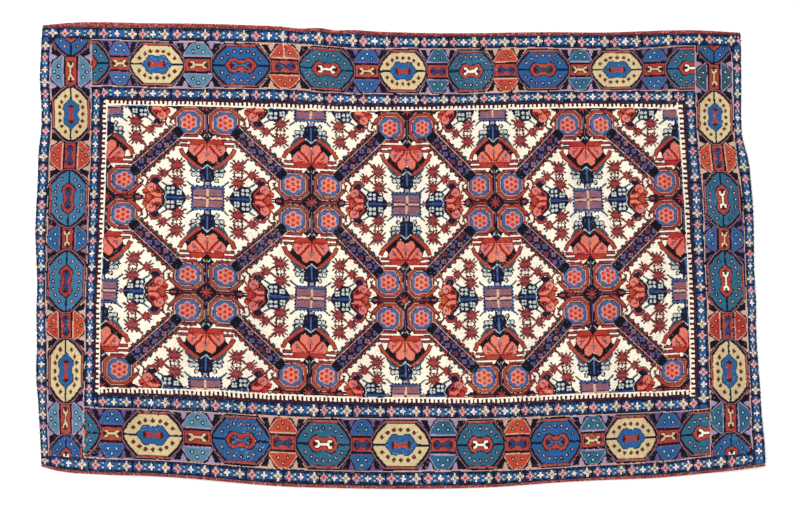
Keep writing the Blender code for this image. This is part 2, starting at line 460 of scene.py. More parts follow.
@dataclass(frozen=True)
class Pen:
    """Draws a motif on the chart from the motif's own coordinates."""

    chart: Chart
    place: Place

    def shape(self, yarn: Yarn, points: Points | np.ndarray, mirror: Mirror = NONE) -> None:
        """Fills a closed shape and its reflections.

        Args:
            yarn: The yarn of the shape.
            points: The corners, in the motif's coordinates.
            mirror: The reflections to draw.
        """
        for signs in mirror.value:
            placed = self.place(np.array(points, float) * signs)
            self.chart.fill(placed + drift(placed), yarn)

    def box(self, yarn: Yarn, low: Point, high: Point, mirror: Mirror = NONE) -> None:
        """Fills an upright rectangle between two corners."""
        self.shape(yarn, (low, (high[0], low[1]), high, (low[0], high[1])), mirror)

    def disc(self, yarn: Yarn, middle: Point, radii: Point, mirror: Mirror = NONE) -> None:
        """Fills an ellipse about a middle point."""
        turns = np.linspace(0, 2 * math.pi, 14, endpoint=False)
        self.shape(yarn, np.column_stack([np.cos(turns), np.sin(turns)]) * radii + middle, mirror)

    def diamond(self, yarn: Yarn, middle: Point, radii: Point, mirror: Mirror = NONE) -> None:
        """Fills a diamond about a middle point."""
        self.shape(yarn, np.array(((1, 0), (0, 1), (-1, 0), (0, -1))) * radii + middle, mirror)

    def line(self, yarn: Yarn, points: Points | np.ndarray, width: float, mirror: Mirror = NONE) -> None:
        """Draws a line of even width through points.

        Args:
            yarn: The yarn of the line.
            points: The points it runs through, in the motif's coordinates.
            width: The line's full width.
            mirror: The reflections to draw.
        """
        for start, stop in zip(np.array(points[:-1], float), np.array(points[1:], float)):
            run = (stop - start) / np.linalg.norm(stop - start)
            tip = run * width * LINE_TIP
            side = np.array((-run[1], run[0])) * width / 2
            first, last = start - tip, stop + tip
            self.shape(yarn, (first + side, last + side, last - side, first - side), mirror)

    def edged(self, yarn: Yarn, edge: Yarn, points: Points, width: float) -> None:
        """Draws a line in all four quarters, with a thin rim of another yarn along its sides."""
        self.line(edge, points, width + 2 * LINE_RIM, BOTH)
        self.line(yarn, points, width, BOTH)


def octagon(middle: Point, half: float) -> list[Point]:
    """The corners of an upright octagon.

    Args:
        middle: Its middle point.
        half: Half its height.

    Returns:
        Its eight corners.
    """
    flat = half - (4.8 + 0.586 * (half - 9.6))
    corners = ((half, flat), (flat, half), (-flat, half), (-half, flat))
    corners += tuple((-x, -y) for x, y in corners)
    return [(middle[0] + x, middle[1] + y) for x, y in corners]


@dataclass(frozen=True)
class CrossStar(Pen):
    """Four rosette octagons about a dark star, with a palmette at the end of each arm."""

    wool: Yarn = Yarn.RUST
    petals: Yarn = Yarn.SALMON
    octagon_middle: Point = (17.0, 17.8)

    def draw(self) -> None:
        """Draws the whole motif."""
        self._octagons()
        self._heart()
        self._corner_leaves()
        self._side_palmettes()
        self._upright_palmettes()

    def _octagons(self) -> None:
        """Draws the four octagons of wool, each about seven flowers."""
        self.box(Yarn.MAROON, (-20, -31), (20, 31))
        self.box(Yarn.MAROON, (-29, -20), (29, 20))
        rings = (
            (15.5, Yarn.TAN),
            (15.0, Yarn.MAROON),
            (14.2, self.wool),
            (12.0, Yarn.MAROON),
            (11.6, Yarn.TAN),
            (10.9, Yarn.NAVY),
            (10.2, Yarn.PLUM),
            (9.6, Yarn.STEEL),
        )
        for half, yarn in rings:
            self.shape(yarn, octagon(self.octagon_middle, half), BOTH)
        x, y = self.octagon_middle
        around = [(x + 5.2 * math.sin(turn), y + 5.2 * math.cos(turn)) for turn in np.arange(6) * math.pi / 3]
        for yarn, radius in ((Yarn.ROSE, 3.2), (Yarn.SALMON, 2.7), (Yarn.VERMILION, 1.6)):
            for spot in [(x, y), *around]:
                self.disc(yarn, spot, (radius, radius), BOTH)

    def _heart(self) -> None:
        """Draws the dark arms between the octagons and the star where they cross."""
        self.box(Yarn.BLACK, (-1.7, -30), (1.7, 30))
        self.line(Yarn.PLUM, ((0, 9), (0, 29)), 0.8, UPRIGHT)
        self.box(Yarn.MAROON, (-28, -1.5), (28, 1.5))
        self.line(Yarn.MADDER, ((9, 0), (27, 0)), 0.8, SIDEWAYS)
        self.diamond(Yarn.BLACK, (0, 0), (9.4, 9.4))
        for reach in ((5.0, 0), (0, 5.6), (3.6, 3.6), (-3.6, 3.6)):
            self.line(Yarn.MADDER, ((-reach[0], -reach[1]), reach), 1.3)

    def _corner_leaves(self) -> None:
        """Draws the forked leaves beside the side palmettes."""
        self.box(Yarn.IVORY, (30.6, 9.5), (34, 19), BOTH)
        self.line(Yarn.BROWN, ((30.2, 11), (30.2, 18)), 0.9, BOTH)
        self.edged(self.wool, Yarn.MAROON, ((22, 3.6), (27, 7.2), (32.5, 13.0)), 2.6)
        self.line(Yarn.BROWN, ((32, 12.5), (34.6, 16), (33, 18.8)), 1.7, BOTH)
        self.line(Yarn.BROWN, ((38.0, 12), (39.6, 17.5), (38.6, 20.5), (35.8, 22.6)), 1.9, BOTH)
        self.line(Yarn.MADDER, ((38.6, 13), (39.4, 17.5)), 0.8, BOTH)
        self.line(Yarn.BROWN, ((36.4, 10.6), (33.4, 15.0), (35.2, 18.4)), 1.5, BOTH)

    def _side_palmettes(self) -> None:
        """Draws the palmettes to the left and right, one figure after another from the cross out."""
        arrow = ((25, 1.6), (27, 3.2), (30.5, 4.4), (33, 2.6), (38, 2.2))
        self.shape(Yarn.BLACK, [*arrow, *((x, -y) for x, y in reversed(arrow))], SIDEWAYS)
        self.disc(Yarn.MADDER, (30, 0), (2.8, 1.4), SIDEWAYS)
        self.line(Yarn.PEARL, ((31, 4.3), (37, 4.3)), 0.8, BOTH)
        body = (
            (35, 3.2), (33.6, 7.4), (37.4, 10.4), (38.6, 14.2), (43, 15.4),
            (47.6, 14), (51, 9.4), (53, 5), (52.4, 0),
        )
        self.shape(Yarn.MAROON, [(37, 0), *((x + 0.8, y * 1.07) for x, y in body)], BOTH)
        self.shape(Yarn.BLOOD, [(37, 0), *body], BOTH)
        self.line(Yarn.MADDER, ((44.6, 13.6), (48.8, 10.2), (51.8, 6.2)), 2.4, BOTH)
        self.line(Yarn.BLACK, ((46.8, 9.4), (50.2, 6.4)), 1.6, BOTH)
        self.shape(Yarn.ORANGE, ((34.8, 5.0), (40.2, 6.2), (38.6, 10.6), (35.6, 9.2)), BOTH)
        self.disc(Yarn.MAROON, (42.6, 10.4), (5.2, 5.3), BOTH)
        self.disc(self.petals, (42.6, 10.4), (4.4, 4.5), BOTH)
        self.edged(self.petals, Yarn.BLOOD, ((51.0, 2.7), (46.4, 2.8), (43.2, 5.2)), 3.2)
        self.line(Yarn.BLOOD, ((43.0, 5.0), (45.2, 7.6), (44.2, 10.4)), 1.2, BOTH)
        self.disc(Yarn.PLUM, (42.2, 10.8), (1.2, 1.3), BOTH)
        self.shape(Yarn.MAROON, ((36.4, 3.4), (40, 6.2), (45.4, 0), (40, -6.2), (36.4, -3.4)), SIDEWAYS)
        self.shape(Yarn.VERMILION, ((37, 2.8), (40, 5.2), (44.2, 0), (40, -5.2), (37, -2.8)), SIDEWAYS)
        self.line(Yarn.ORANGE, ((39.6, 2.6), (39.6, -2.6)), 1.6, SIDEWAYS)
        for y in (0.0, 2.4, -2.4):
            self.line(Yarn.IVORY, ((34.2, y), (36.4, y)), 0.8, SIDEWAYS)
        edge = ((49.4, 11.6), (53.6, 7.4), (55, 3.4), (53.6, 0))
        self.line(Yarn.BLACK, edge, 2.2, BOTH)
        self.line(Yarn.PEARL, [(x + 1.7, y * 1.05) for x, y in edge], 0.7, BOTH)
        leaf = ((41.6, 17.6), (44, 21.4), (48.4, 21.6), (51.4, 18.0))
        self.edged(Yarn.MADDER, Yarn.BROWN, leaf, 2.0)
        self.disc(Yarn.NAVY, (46.6, 16.8), (4.2, 2.9), BOTH)

    def _upright_palmettes(self) -> None:
        """Draws the palmettes to the far and near side, each on a row of combs."""
        self.shape(Yarn.BLACK, ((-8, 29.5), (8, 29.5), (0, 39)), UPRIGHT)
        self.line(Yarn.PEARL, ((1.5, 30.5), (4.6, 34.5)), 0.8, BOTH)
        self.line(Yarn.OLIVE, ((0, 31), (0, 37)), 0.8, UPRIGHT)
        combs = (
            (8.5, 30.3, 24.6, 33.2, Yarn.MAROON),
            (9.5, 31.2, 23.8, 32.4, Yarn.MADDER),
            (9.5, 33.2, 24.8, 34.6, Yarn.IVORY),
            (9.0, 34.6, 25.2, 38.0, Yarn.MAROON),
            (9.0, 35.4, 24.4, 37.2, Yarn.MADDER),
            (12.5, 38.0, 25.0, 39.5, Yarn.IVORY),
            (14.0, 39.5, 25.2, 42.9, Yarn.MAROON),
            (15.0, 40.3, 24.4, 42.0, Yarn.MADDER),
            (18.5, 42.9, 25.0, 44.2, Yarn.IVORY),
        )
        for left, low, right, high, yarn in combs:
            self.box(yarn, (left, low), (right, high), BOTH)
        self.shape(Yarn.BLOOD, ((-14.5, 34.6), (14.5, 34.6), (17, 41), (-17, 41)), UPRIGHT)
        self.shape(Yarn.VERMILION, ((-13, 35.2), (13, 35.2), (15.6, 39.6), (-15.6, 39.6)), UPRIGHT)
        self.shape(Yarn.BLACK, ((-5, 33.2), (5, 33.2), (0, 39.4)), UPRIGHT)
        body = ((16, 40.8), (17.4, 46), (14, 50.5), (11, 53), (9.8, 57), (5.4, 59.6), (2, 57.5), (0, 54.5))
        self.shape(Yarn.MAROON, [(0, 40.5), *((x * 1.07, y + 0.8) for x, y in body)], BOTH)
        self.shape(self.petals, [(0, 40.8), *body], BOTH)
        self.line(Yarn.BLOOD, ((0, 40), (0, 50.5)), 1.2, UPRIGHT)
        self.line(Yarn.BLOOD, ((2.4, 42), (5.6, 47), (11, 53)), 2.3, BOTH)
        self.line(Yarn.BLOOD, ((8.6, 43.2), (13.4, 48.6)), 1.0, BOTH)
        self.line(Yarn.VERMILION, ((6, 41.8), (12.5, 41.8)), 1.2, BOTH)
        self.disc(Yarn.PLUM, (12.0, 45.4), (1.4, 1.6), BOTH)
        self.line(Yarn.MAUVE, ((2.4, 49), (0, 53.5)), 1.3, BOTH)
        self.line(Yarn.BLACK, ((10.9, 53.5), (9.6, 59.8), (5.4, 62.2), (0, 58.0)), 2.9, BOTH)
        self.line(Yarn.PEARL, ((10.0, 61.4), (4.8, 65.2), (0, 61.0)), 0.8, BOTH)
        hollow = ((17.2, 46), (21, 50.5), (14.5, 57), (9.5, 62), (6, 62), (10.6, 54), (15, 49.6))
        self.shape(Yarn.BLACK, hollow, BOTH)
        self.line(self.petals, ((16.6, 54.2), (12.6, 58.6)), 1.2, BOTH)
        leaf = ((24.8, 45.6), (22.4, 50.6), (16.6, 56.6), (11.4, 61.4), (7.4, 64.2))
        self.edged(Yarn.RUST, Yarn.MAROON, leaf, 3.0)
        self.line(Yarn.BRICK, leaf[1:4], 1.4, BOTH)
        self.line(Yarn.SLATE, ((18.0, 58.5), (14.5, 63.5), (10, 66.5)), 2.4, BOTH)


@dataclass(frozen=True)
class BoxStar(Pen):
    """A hatched box with a dark trunk out of each side, and sprays of blossom in its corners."""

    hatch: Yarn = Yarn.MAUVE
    rail: Yarn = Yarn.STEEL

    def draw(self) -> None:
        """Draws the whole motif."""
        self._sprays()
        self._side_trunks()
        self._upright_trunks()
        self._box()

    def _box(self) -> None:
        """Draws the box, with its notched rails and its pale cross."""
        self.box(self.rail, (-15, -12.2), (15, 12.2))
        for step in range(9):
            x = -13.2 + 3.3 * step
            self.box(Yarn.NAVY, (x - 0.8, 11.2), (x + 0.8, 13.0), UPRIGHT)
        for step in range(7):
            y = -9.9 + 3.3 * step
            self.box(Yarn.NAVY, (14.2, y - 0.8), (15.8, y + 0.8), SIDEWAYS)
        self.box(Yarn.NAVY, (-13.9, -10.0), (13.9, 10.0))
        self.box(self.hatch, (-13.4, -9.2), (13.4, 9.2))
        for step in range(4):
            y = 3.0 + 1.9 * step
            self.line(Yarn.RUSSET if step % 2 else Yarn.PLUM, ((2, y), (13.2, y)), 0.7, BOTH)
        self.line(Yarn.MAROON, ((-13.2, 1.9), (13.2, 1.9)), 0.9, UPRIGHT)
        self.box(Yarn.PEACH, (-1.0, -9.2), (1.0, 9.2))
        self.box(Yarn.PEACH, (-13.4, -1.0), (13.4, 1.0))
        self.disc(Yarn.BROWN, (0, 0), (1.5, 1.3))
        self.line(Yarn.SLATE, ((14.5, 12.5), (19, 16.5)), 1.8, BOTH)

    def _upright_trunks(self) -> None:
        """Draws the trunks to the far and near side."""
        trunk = ((3.8, 12.5), (3.8, 16), (6.6, 17.6), (6.8, 29), (5.2, 32.6), (0, 36))
        self.shape(Yarn.NAVY, [(0, 12.5), *trunk], BOTH)
        self.box(Yarn.LILAC, (-1.9, 13), (1.9, 16), UPRIGHT)
        self.box(Yarn.DEEP_TEAL, (3.2, 19.5), (4.6, 21.5), BOTH)
        self.line(Yarn.STEEL, ((0, 19), (0, 34)), 1.6, UPRIGHT)
        self._posy((10.8, 26.3), (2.0, 2.6), 1.9)
        self.disc(Yarn.BLACK, (8.6, 17.6), (2.3, 2.6), BOTH)
        self.disc(Yarn.PEARL, (8.3, 17.6), (1.2, 1.7), BOTH)
        self.diamond(Yarn.BROWN, (15.6, 27.5), (1.9, 1.9), BOTH)

    def _side_trunks(self) -> None:
        """Draws the trunks to the left and right."""
        trunk = (
            (40.5, 2), (41, 8.6), (38.6, 12.8), (30.6, 13.2),
            (28, 10.2), (24.8, 9.2), (21.6, 5.4), (19.5, 1.6),
        )
        self.shape(Yarn.NAVY, [(41, 0), *trunk, (19, 0)], BOTH)
        self.box(Yarn.INDIGO, (27, -1.4), (41, 1.4), SIDEWAYS)
        self.line(Yarn.STEEL, ((20, 0), (27, 0)), 1.0, SIDEWAYS)
        self._posy((34.5, 7.4), (2.0, 2.1), 1.6)
        self._posy((26.4, 5.4), (1.3, 1.3), 1.2)
        self.diamond(Yarn.BROWN, (18.0, 0), (3.0, 3.4), SIDEWAYS)
        self.diamond(Yarn.MAUVE, (18.0, 0), (2.2, 2.6), SIDEWAYS)
        self.line(Yarn.SLATE, ((43, 15.5), (38.0, 12.5)), 1.8, BOTH)

    def _posy(self, middle: Point, spread: Point, radius: float) -> None:
        """Draws four pale blossoms set square, in all four quarters.

        Args:
            middle: The point between the blossoms.
            spread: How far they stand from it along and across.
            radius: The radius of each.
        """
        x, y = spread
        for yarn, size in ((Yarn.NAVY, radius + 1.1), (Yarn.PEARL, radius)):
            for dx, dy in ((x, y), (-x, y), (x, -y), (-x, -y)):
                self.disc(yarn, (middle[0] + dx, middle[1] + dy), (size, size), BOTH)

    def _sprays(self) -> None:
        """Draws the forked stems of blossom in the four quarters."""
        stems = (
            ((28, 33), (34.5, 28.5), (39, 24.8), (34.5, 21), (28, 16)),
            ((28, 33), (37.5, 41)),
            ((28, 16), (35.5, 9)),
            ((28, 16), (20, 12)),
        )
        for stem in stems:
            self.line(Yarn.BROWN, stem, 2.2, BOTH)
            self.line(Yarn.MADDER, stem, 0.9, BOTH)
        for middle, size in (((28.2, 33.0), 1.0), ((27.8, 16.2), 0.95)):
            self._crown(middle, (0, size))
            self._crown(middle, (0, -size))
            self._lens(middle, (7.8 * size, 2.4 * size))
        self._crown((40.4, 24.6), (0.85, 0))
        self._lens((40.2, 24.6), (2.2, 5.6))
        self.disc(Yarn.BROWN, (28.2, 24.6), (4.2, 3.0), BOTH)
        self.disc(Yarn.IVORY, (28.2, 24.6), (2.9, 1.8), BOTH)
        self.line(Yarn.BROWN, ((28.2, 22.5), (28.2, 27.0)), 0.8, BOTH)

    def _lens(self, middle: Point, radii: Point) -> None:
        """Draws a pointed lens of two yarns in all four quarters.

        Args:
            middle: Its middle point.
            radii: Its half length and half width, the longer one towards its points.
        """
        ring = np.array(((1, 0), (0.45, 1), (-0.45, 1), (-1, 0), (-0.45, -1), (0.45, -1)))
        if radii[1] > radii[0]:
            ring = ring[:, ::-1]
        self.shape(Yarn.BROWN, ring * radii + middle, BOTH)
        self.shape(Yarn.MADDER, ring * (radii[0] - 0.8, radii[1] - 0.8) + middle, BOTH)

    def _crown(self, middle: Point, up: Point) -> None:
        """Draws a petal between two pairs of claws in all four quarters.

        Args:
            middle: The point they grow from.
            up: The direction they grow in, whose length is their size.
        """
        upward = np.array(up)
        turn = np.stack([upward[::-1], upward])
        petal = np.array(((-1.7, 1.6), (-1.7, 4.8), (0, 7.9), (1.7, 4.8), (1.7, 1.6)))
        claws = (((2.6, 1.4), (7.2, 4.6)), ((1.8, 2.6), (4.4, 7.0)))
        for claw in claws:
            for sign in (1, -1):
                self.line(Yarn.BROWN, np.array(claw) * (sign, 1) @ turn + middle, 1.7, BOTH)
        self.shape(Yarn.BROWN, petal @ turn + middle, BOTH)
        self.shape(Yarn.MADDER, (petal * 0.68 + (0, 1.3)) @ turn + middle, BOTH)


@dataclass(frozen=True)
class LatticeBar(Pen):
    """A slanting bar of the lattice, drawn along its own x between the octagons of two crosses."""

    length: float = 87.0
    teeth_start: float = 15.0

    def draw(self) -> None:
        """Draws the bar with its row of flowers."""
        self._teeth()
        self.box(Yarn.TAN, (7, -6.2), (80, 6.2))
        self.box(Yarn.BLACK, (5, -5.5), (82, 5.5))
        self.box(Yarn.NAVY, (17, -5.0), (70, 5.0))
        for index, along in enumerate(np.arange(19.5, self.length - 17, 6.0)):
            across = 2.4 if index % 2 else -2.4
            yarn = (Yarn.DUSK, Yarn.GARNET, Yarn.MAUVE, Yarn.PLUM)[index % 4]
            for dx, dy in ((1.7, 0), (-1.7, 0), (0, 1.7), (0, -1.7)):
                self.disc(yarn, (along + dx, across + dy), (1.25, 1.25))
            self.disc(Yarn.MAROON, (along, across), (0.8, 0.8))
            self.disc(Yarn.GARNET if index % 3 == 0 else Yarn.PLUM, (along + 0.6, -across * 1.35), (1.4, 1.3))

    def join(self) -> None:
        """Draws the dark ends of the bar up to the octagons, over their rims."""
        for base, sign in ((0.0, 1), (self.length, -1)):
            end = ((10.2, -3.6), (12.4, -5.6), (18.5, -5.6), (18.5, 5.6), (12.4, 5.6), (10.2, 3.6))
            self.shape(Yarn.BLACK, [(base + sign * x, y) for x, y in end])
            for edge in ((12.6, 6.1), (18.5, 6.1)), ((12.6, -6.1), (18.5, -6.1)):
                self.line(Yarn.TAN, [(base + sign * x, y) for x, y in edge], 0.8)

    def _teeth(self) -> None:
        """Draws the stepped blocks along both sides of the bar."""
        first = self.teeth_start
        self.box(Yarn.MAROON, (first - 3, 5.8), (self.length - first + 3, 8.2), UPRIGHT)
        colours = ((Yarn.MAROON, Yarn.MADDER), (Yarn.BLACK, Yarn.DEEP_TEAL), (Yarn.MAROON, Yarn.BRICK))
        for index, along in enumerate(np.arange(first - 3, self.length - first, 3.2)):
            reach = 11.2 if index % 2 else 9.6
            dark, bright = colours[index % 3]
            self.box(dark, (along, 7.0), (along + 3.3, reach), UPRIGHT)
            self.box(bright, (along + 0.8, 7.4), (along + 2.5, reach - 1.0), UPRIGHT)


@dataclass(frozen=True)
class Lattice:
    """The field: crosses and boxes set by turns on an uneven net of four rows and seven columns."""

    x: tuple[tuple[float, ...], ...] = (
        (107.5, 206.5, 311, 407, 492, 583, 677.5),
        (105.5, 207.8, 311.7, 407, 495.3, 588, 682),
        (101, 206.4, 311.8, 404.5, 498.3, 591.7, 687.3),
        (100.5, 205.5, 309, 406, 502, 595, 689.5),
    )
    y: tuple[tuple[float, ...], ...] = (
        (106, 105, 110.5, 110.8, 109, 107.5, 109),
        (196.5, 198, 203, 205, 202.5, 200, 198),
        (290.5, 292.5, 299, 301, 298.7, 294, 290.5),
        (387, 389.5, 393.5, 396.5, 396, 393.5, 388),
    )
    cell: float = 95.0
    worn: tuple[tuple[int, int], ...] = ((2, 1), (1, 2))

    def place(self, column: int, row: int) -> Place:
        """How a motif's own coordinates lie on the photo about one node of the net.

        Args:
            column: The node's column, from the left.
            row: The node's row, from the far side.

        Returns:
            A function from the motif's coordinates to photo pixels.
        """
        nodes = np.stack([np.array(self.x), np.array(self.y)], axis=-1)

        def place(points: np.ndarray) -> np.ndarray:
            """Carries points over to the photo, evenly between the four nodes about each.

            Args:
                points: Points in the motif's coordinates.

            Returns:
                The points in photo pixels.
            """
            u = column + points[..., 0] / self.cell
            v = row + points[..., 1] / self.cell
            i = np.clip(np.floor(u).astype(int), 0, nodes.shape[1] - 2)
            j = np.clip(np.floor(v).astype(int), 0, nodes.shape[0] - 2)
            s = (u - i)[..., None]
            t = (v - j)[..., None]
            upper = nodes[j, i] * (1 - s) + nodes[j, i + 1] * s
            lower = nodes[j + 1, i] * (1 - s) + nodes[j + 1, i + 1] * s
            return upper * (1 - t) + lower * t

        return place

    def draw(self, chart: Chart) -> None:
        """Draws the whole field.

        Args:
            chart: The chart to draw on.
        """
        rows, columns = len(self.x), len(self.x[0])
        bars = [self._bar(chart, row, column) for row in range(rows - 1) for column in range(columns - 1)]
        nodes = [(row, column) for row in range(rows) for column in range(columns)]
        for bar in bars:
            bar.draw()
        for row, column in nodes:
            if (row + column) % 2 == 0:
                BoxStar(chart, self.place(column, row)).draw()
        for row, column in nodes:
            if (row + column) % 2:
                wool = Yarn.RUSSET if (row, column) in self.worn else Yarn.RUST
                CrossStar(chart, self.place(column, row), wool).draw()
        for bar in bars:
            bar.join()

    def _bar(self, chart: Chart, row: int, column: int) -> LatticeBar:
        """The bar that slants across one cell of the net.

        Args:
            chart: The chart to draw on.
            row: The cell's row, from the far side.
            column: The cell's column, from the left.

        Returns:
            The bar, ready to draw.
        """
        sign = 1 if (row + column) % 2 else -1
        first, last = (column, column + 1) if sign > 0 else (column + 1, column)
        offset = np.array(CrossStar.octagon_middle) * (sign, 1)
        start, stop = self.place(first, row)(offset), self.place(last, row + 1)(-offset)
        run = (stop - start) / LatticeBar.length
        side = np.array((-run[1], run[0])) / np.linalg.norm(run)
        return LatticeBar(chart, lambda points: start + points[..., :1] * run + points[..., 1:] * side)


@dataclass(frozen=True)
class Band:
    """The strip between two frames along one side of the rug."""

    outer: Edge
    inner: Edge
    upright: bool

    def place(self, middle: float, half: float, stretch: float = 1.0) -> Place:
        """How coordinates along and across the strip lie on the photo.

        Args:
            middle: Where along the strip the coordinates start.
            half: The half width that the motif is drawn to.
            stretch: How much longer than drawn the motif is along the strip.

        Returns:
            A function to photo pixels, whose second coordinate grows towards the field.
        """

        def place(points: np.ndarray) -> np.ndarray:
            """Carries points over to the photo, between the strip's two edges.

            Args:
                points: Points along and across the strip.

            Returns:
                The points in photo pixels.
            """
            along = middle + points[..., 0] * stretch
            outer = self.outer.at(along)
            inner = self.inner.at(along)
            across = (outer + inner) / 2 + points[..., 1] / half * (inner - outer) / 2
            return np.stack([across, along] if self.upright else [along, across], axis=-1)

        return place

    def stripe(self, chart: Chart, yarn: Yarn, low: float, high: float, span: Point) -> None:
        """Fills a line along the strip, between two shares of its half width.

        Args:
            chart: The chart to draw on.
            yarn: The yarn of the line.
            low: Its outer side, where -1 is the strip's outer edge.
            high: Its inner side, where 1 is the strip's inner edge.
            span: Where it starts and stops along the strip.
        """
        along = np.linspace(*span, 120)
        sides = [np.column_stack([along, np.full_like(along, share)]) for share in (low, high)]
        Pen(chart, self.place(0, 1)).shape(yarn, np.concatenate([sides[0], sides[1][::-1]]))


# The half width that the figures of the main border are drawn to.
BORDER_HALF_WIDTH = 23.0


@dataclass(frozen=True)
class Station:
    """A stretch of the main border that one figure fills."""

    start: float
    stop: float

    def pen(self, chart: Chart, band: Band, half_length: float) -> Pen:
        """A pen for a figure drawn to the given half length and to BORDER_HALF_WIDTH."""
        stretch = (self.stop - self.start) / 2 / half_length
        return Pen(chart, band.place((self.start + self.stop) / 2, BORDER_HALF_WIDTH, stretch))


@dataclass(frozen=True)
class Medallion(Station):
    """A long six-sided medallion of the main border."""

    ground: Yarn
    bone: Yarn = Yarn.IVORY
    half_length: float = 26.0

    def draw(self, chart: Chart, band: Band) -> None:
        """Draws the medallion in its place.

        Args:
            chart: The chart to draw on.
            band: The strip it lies on.
        """
        pen = self.pen(chart, band, self.half_length)
        outline = np.array(((25.6, 2.4), (21.4, 9.6), (13, 18), (-13, 18), (-21.4, 9.6), (-25.6, 2.4)))
        rings = (
            (2.9, Yarn.BLACK),
            (2.3, Yarn.MAUVE),
            (1.6, Yarn.BLACK),
            (0.6, Yarn.MAROON),
            (0.0, self.ground),
        )
        for margin, yarn in rings:
            grown = outline + np.sign(outline) * (margin, margin * 1.15)
            pen.shape(yarn, [*grown, *(grown[::-1] * (1, -1))])
        pen.line(Yarn.BRICK, ((-13.2, 19.2), (13.2, 19.2)), 1.1, UPRIGHT)
        pen.line(Yarn.NAVY, ((-25.5, 0), (25.5, 0)), 2.0)
        for x, y in ((17.6, 6.4), (12.0, 10.4), (6.6, 12.8), (0, 13.0)):
            reflected = BOTH if x else UPRIGHT
            if self.ground is Yarn.CREAM:
                pen.diamond(Yarn.BROWN, (x, y), (2.4, 2.4), reflected)
            else:
                pen.disc(Yarn.NAVY, (x, y * 1.1), (1.9, 2.0), reflected)
                pen.disc(Yarn.ROSE, (x, y * 1.1), (0.9, 0.9), reflected)
        if self.ground is Yarn.CREAM:
            self._blue_figure(pen)
        else:
            self._red_figure(pen)

    def _blue_figure(self, pen: Pen) -> None:
        """Draws the blue figure of a cream medallion.

        Args:
            pen: The medallion's pen.
        """
        figure = ((15, 0), (11, 4.6), (8.4, 8.2), (4.0, 8.8), (1.8, 7.4), (0, 7.4))
        pen.shape(Yarn.NAVY, [(0, 0), *((x * 1.06, y * 1.09) for x, y in figure)], BOTH)
        pen.shape(Yarn.BLUE, [(0, 0), *figure], BOTH)
        pen.disc(Yarn.MAROON, (6.4, 0), (2.8, 3.6), SIDEWAYS)
        flare = ((0, 1.5), (3.5, 2.0), (6.6, 3.6), (6.6, -3.6), (3.5, -2.0), (0, -1.5))
        pen.shape(Yarn.VERMILION, flare, SIDEWAYS)
        pen.disc(Yarn.MAROON, (7.4, 0), (1.6, 1.4), SIDEWAYS)

    def _red_figure(self, pen: Pen) -> None:
        """Draws the red figure of a blue medallion, with a bone in it.

        Args:
            pen: The medallion's pen.
        """
        figure = ((14.2, 0), (10.2, 6.0), (6.4, 7.2), (3.8, 5.4), (0, 5.4))
        pen.shape(Yarn.NAVY, [(0, 0), *((x * 1.1, y * 1.16) for x, y in figure)], BOTH)
        pen.shape(Yarn.BRICK, [(0, 0), *figure], BOTH)
        draw_bone(pen, self.bone, 0.92)


def draw_bone(pen: Pen, yarn: Yarn, size: float) -> None:
    """Draws the bone-shaped figure that lies in the medallions and bars.

    Args:
        pen: The pen of the motif it lies in.
        yarn: The yarn of the bone.
        size: Its size against the figure of a medallion.
    """
    claw = ((3.6, 1.0), (5.4, 3.6), (8.8, 3.8), (9.0, 2.0), (6.6, 1.4), (5.6, 0.6))
    pen.disc(Yarn.MAROON, (7.0 * size, 0), (4.4 * size, 4.8 * size), SIDEWAYS)
    pen.line(Yarn.MAROON, ((-7 * size, 0), (7 * size, 0)), 4.0 * size)
    pen.line(yarn, ((-5.4 * size, 0), (5.4 * size, 0)), 2.2 * size)
    pen.shape(yarn, [(x * size, y * size) for x, y in claw], BOTH)


@dataclass(frozen=True)
class Panel(Station):
    """A waisted bar between two medallions, with a bone, two domes and four hooks."""

    bone: Yarn
    domes: Yarn
    hooks: Yarn
    half_length: float = 14.5

    def draw(self, chart: Chart, band: Band) -> None:
        """Draws the bar in its place.

        Args:
            chart: The chart to draw on.
            band: The strip it lies on.
        """
        pen = self.pen(chart, band, self.half_length)
        pen.shape(Yarn.BLACK, ((14.5, 0), (28, 23), (-28, 23), (-14.5, 0)), UPRIGHT)
        pen.line(self.hooks, ((14.8, 8.8), (24.8, 21.8), (9.0, 21.8)), 1.3, BOTH)
        pen.shape(self.hooks, ((9.6, 21.8), (15.8, 21.8), (15.2, 18.6), (13.8, 14.8), (12.4, 15.4)), BOTH)
        pen.shape(Yarn.MAROON, ((16.2, 0), (16.6, 8.4), (-16.6, 8.4), (-16.2, 0)), UPRIGHT)
        pen.shape(Yarn.BRICK, ((15.4, 0), (14.2, 5.7), (-14.2, 5.7), (-15.4, 0)), UPRIGHT)
        pen.line(Yarn.BLACK, ((-15, 6.9), (15, 6.9)), 1.9, UPRIGHT)
        pen.line(self.hooks, ((-15.0, 8.5), (15.0, 8.5)), 1.2, UPRIGHT)
        draw_bone(pen, self.bone, 0.9)
        dome = ((14.4, 9.2), (13.0, 11.4), (10.2, 15.6), (8.0, 18.8), (5.0, 21.2))
        pen.shape(Yarn.BLACK, [(0, 8.2), *((x * 1.22, y * 1.03) for x, y in dome), (0, 22.4)], BOTH)
        pen.shape(self.hooks, [(0, 8.2), *((x * 1.09, y * 1.015) for x, y in dome), (0, 21.9)], BOTH)
        pen.shape(self.domes, [(0, 9.2), *dome, (0, 21.2)], BOTH)
        red = self.domes in (Yarn.ORANGE, Yarn.VERMILION)
        for spot in ((0, 17.6), (5.0, 13.2), (-5.0, 13.2)):
            pen.disc(Yarn.MAROON if red else Yarn.NAVY, spot, (2.0, 2.0), UPRIGHT)
            pen.disc(Yarn.TAN if red else Yarn.PEARL, spot, (1.0, 1.0), UPRIGHT)


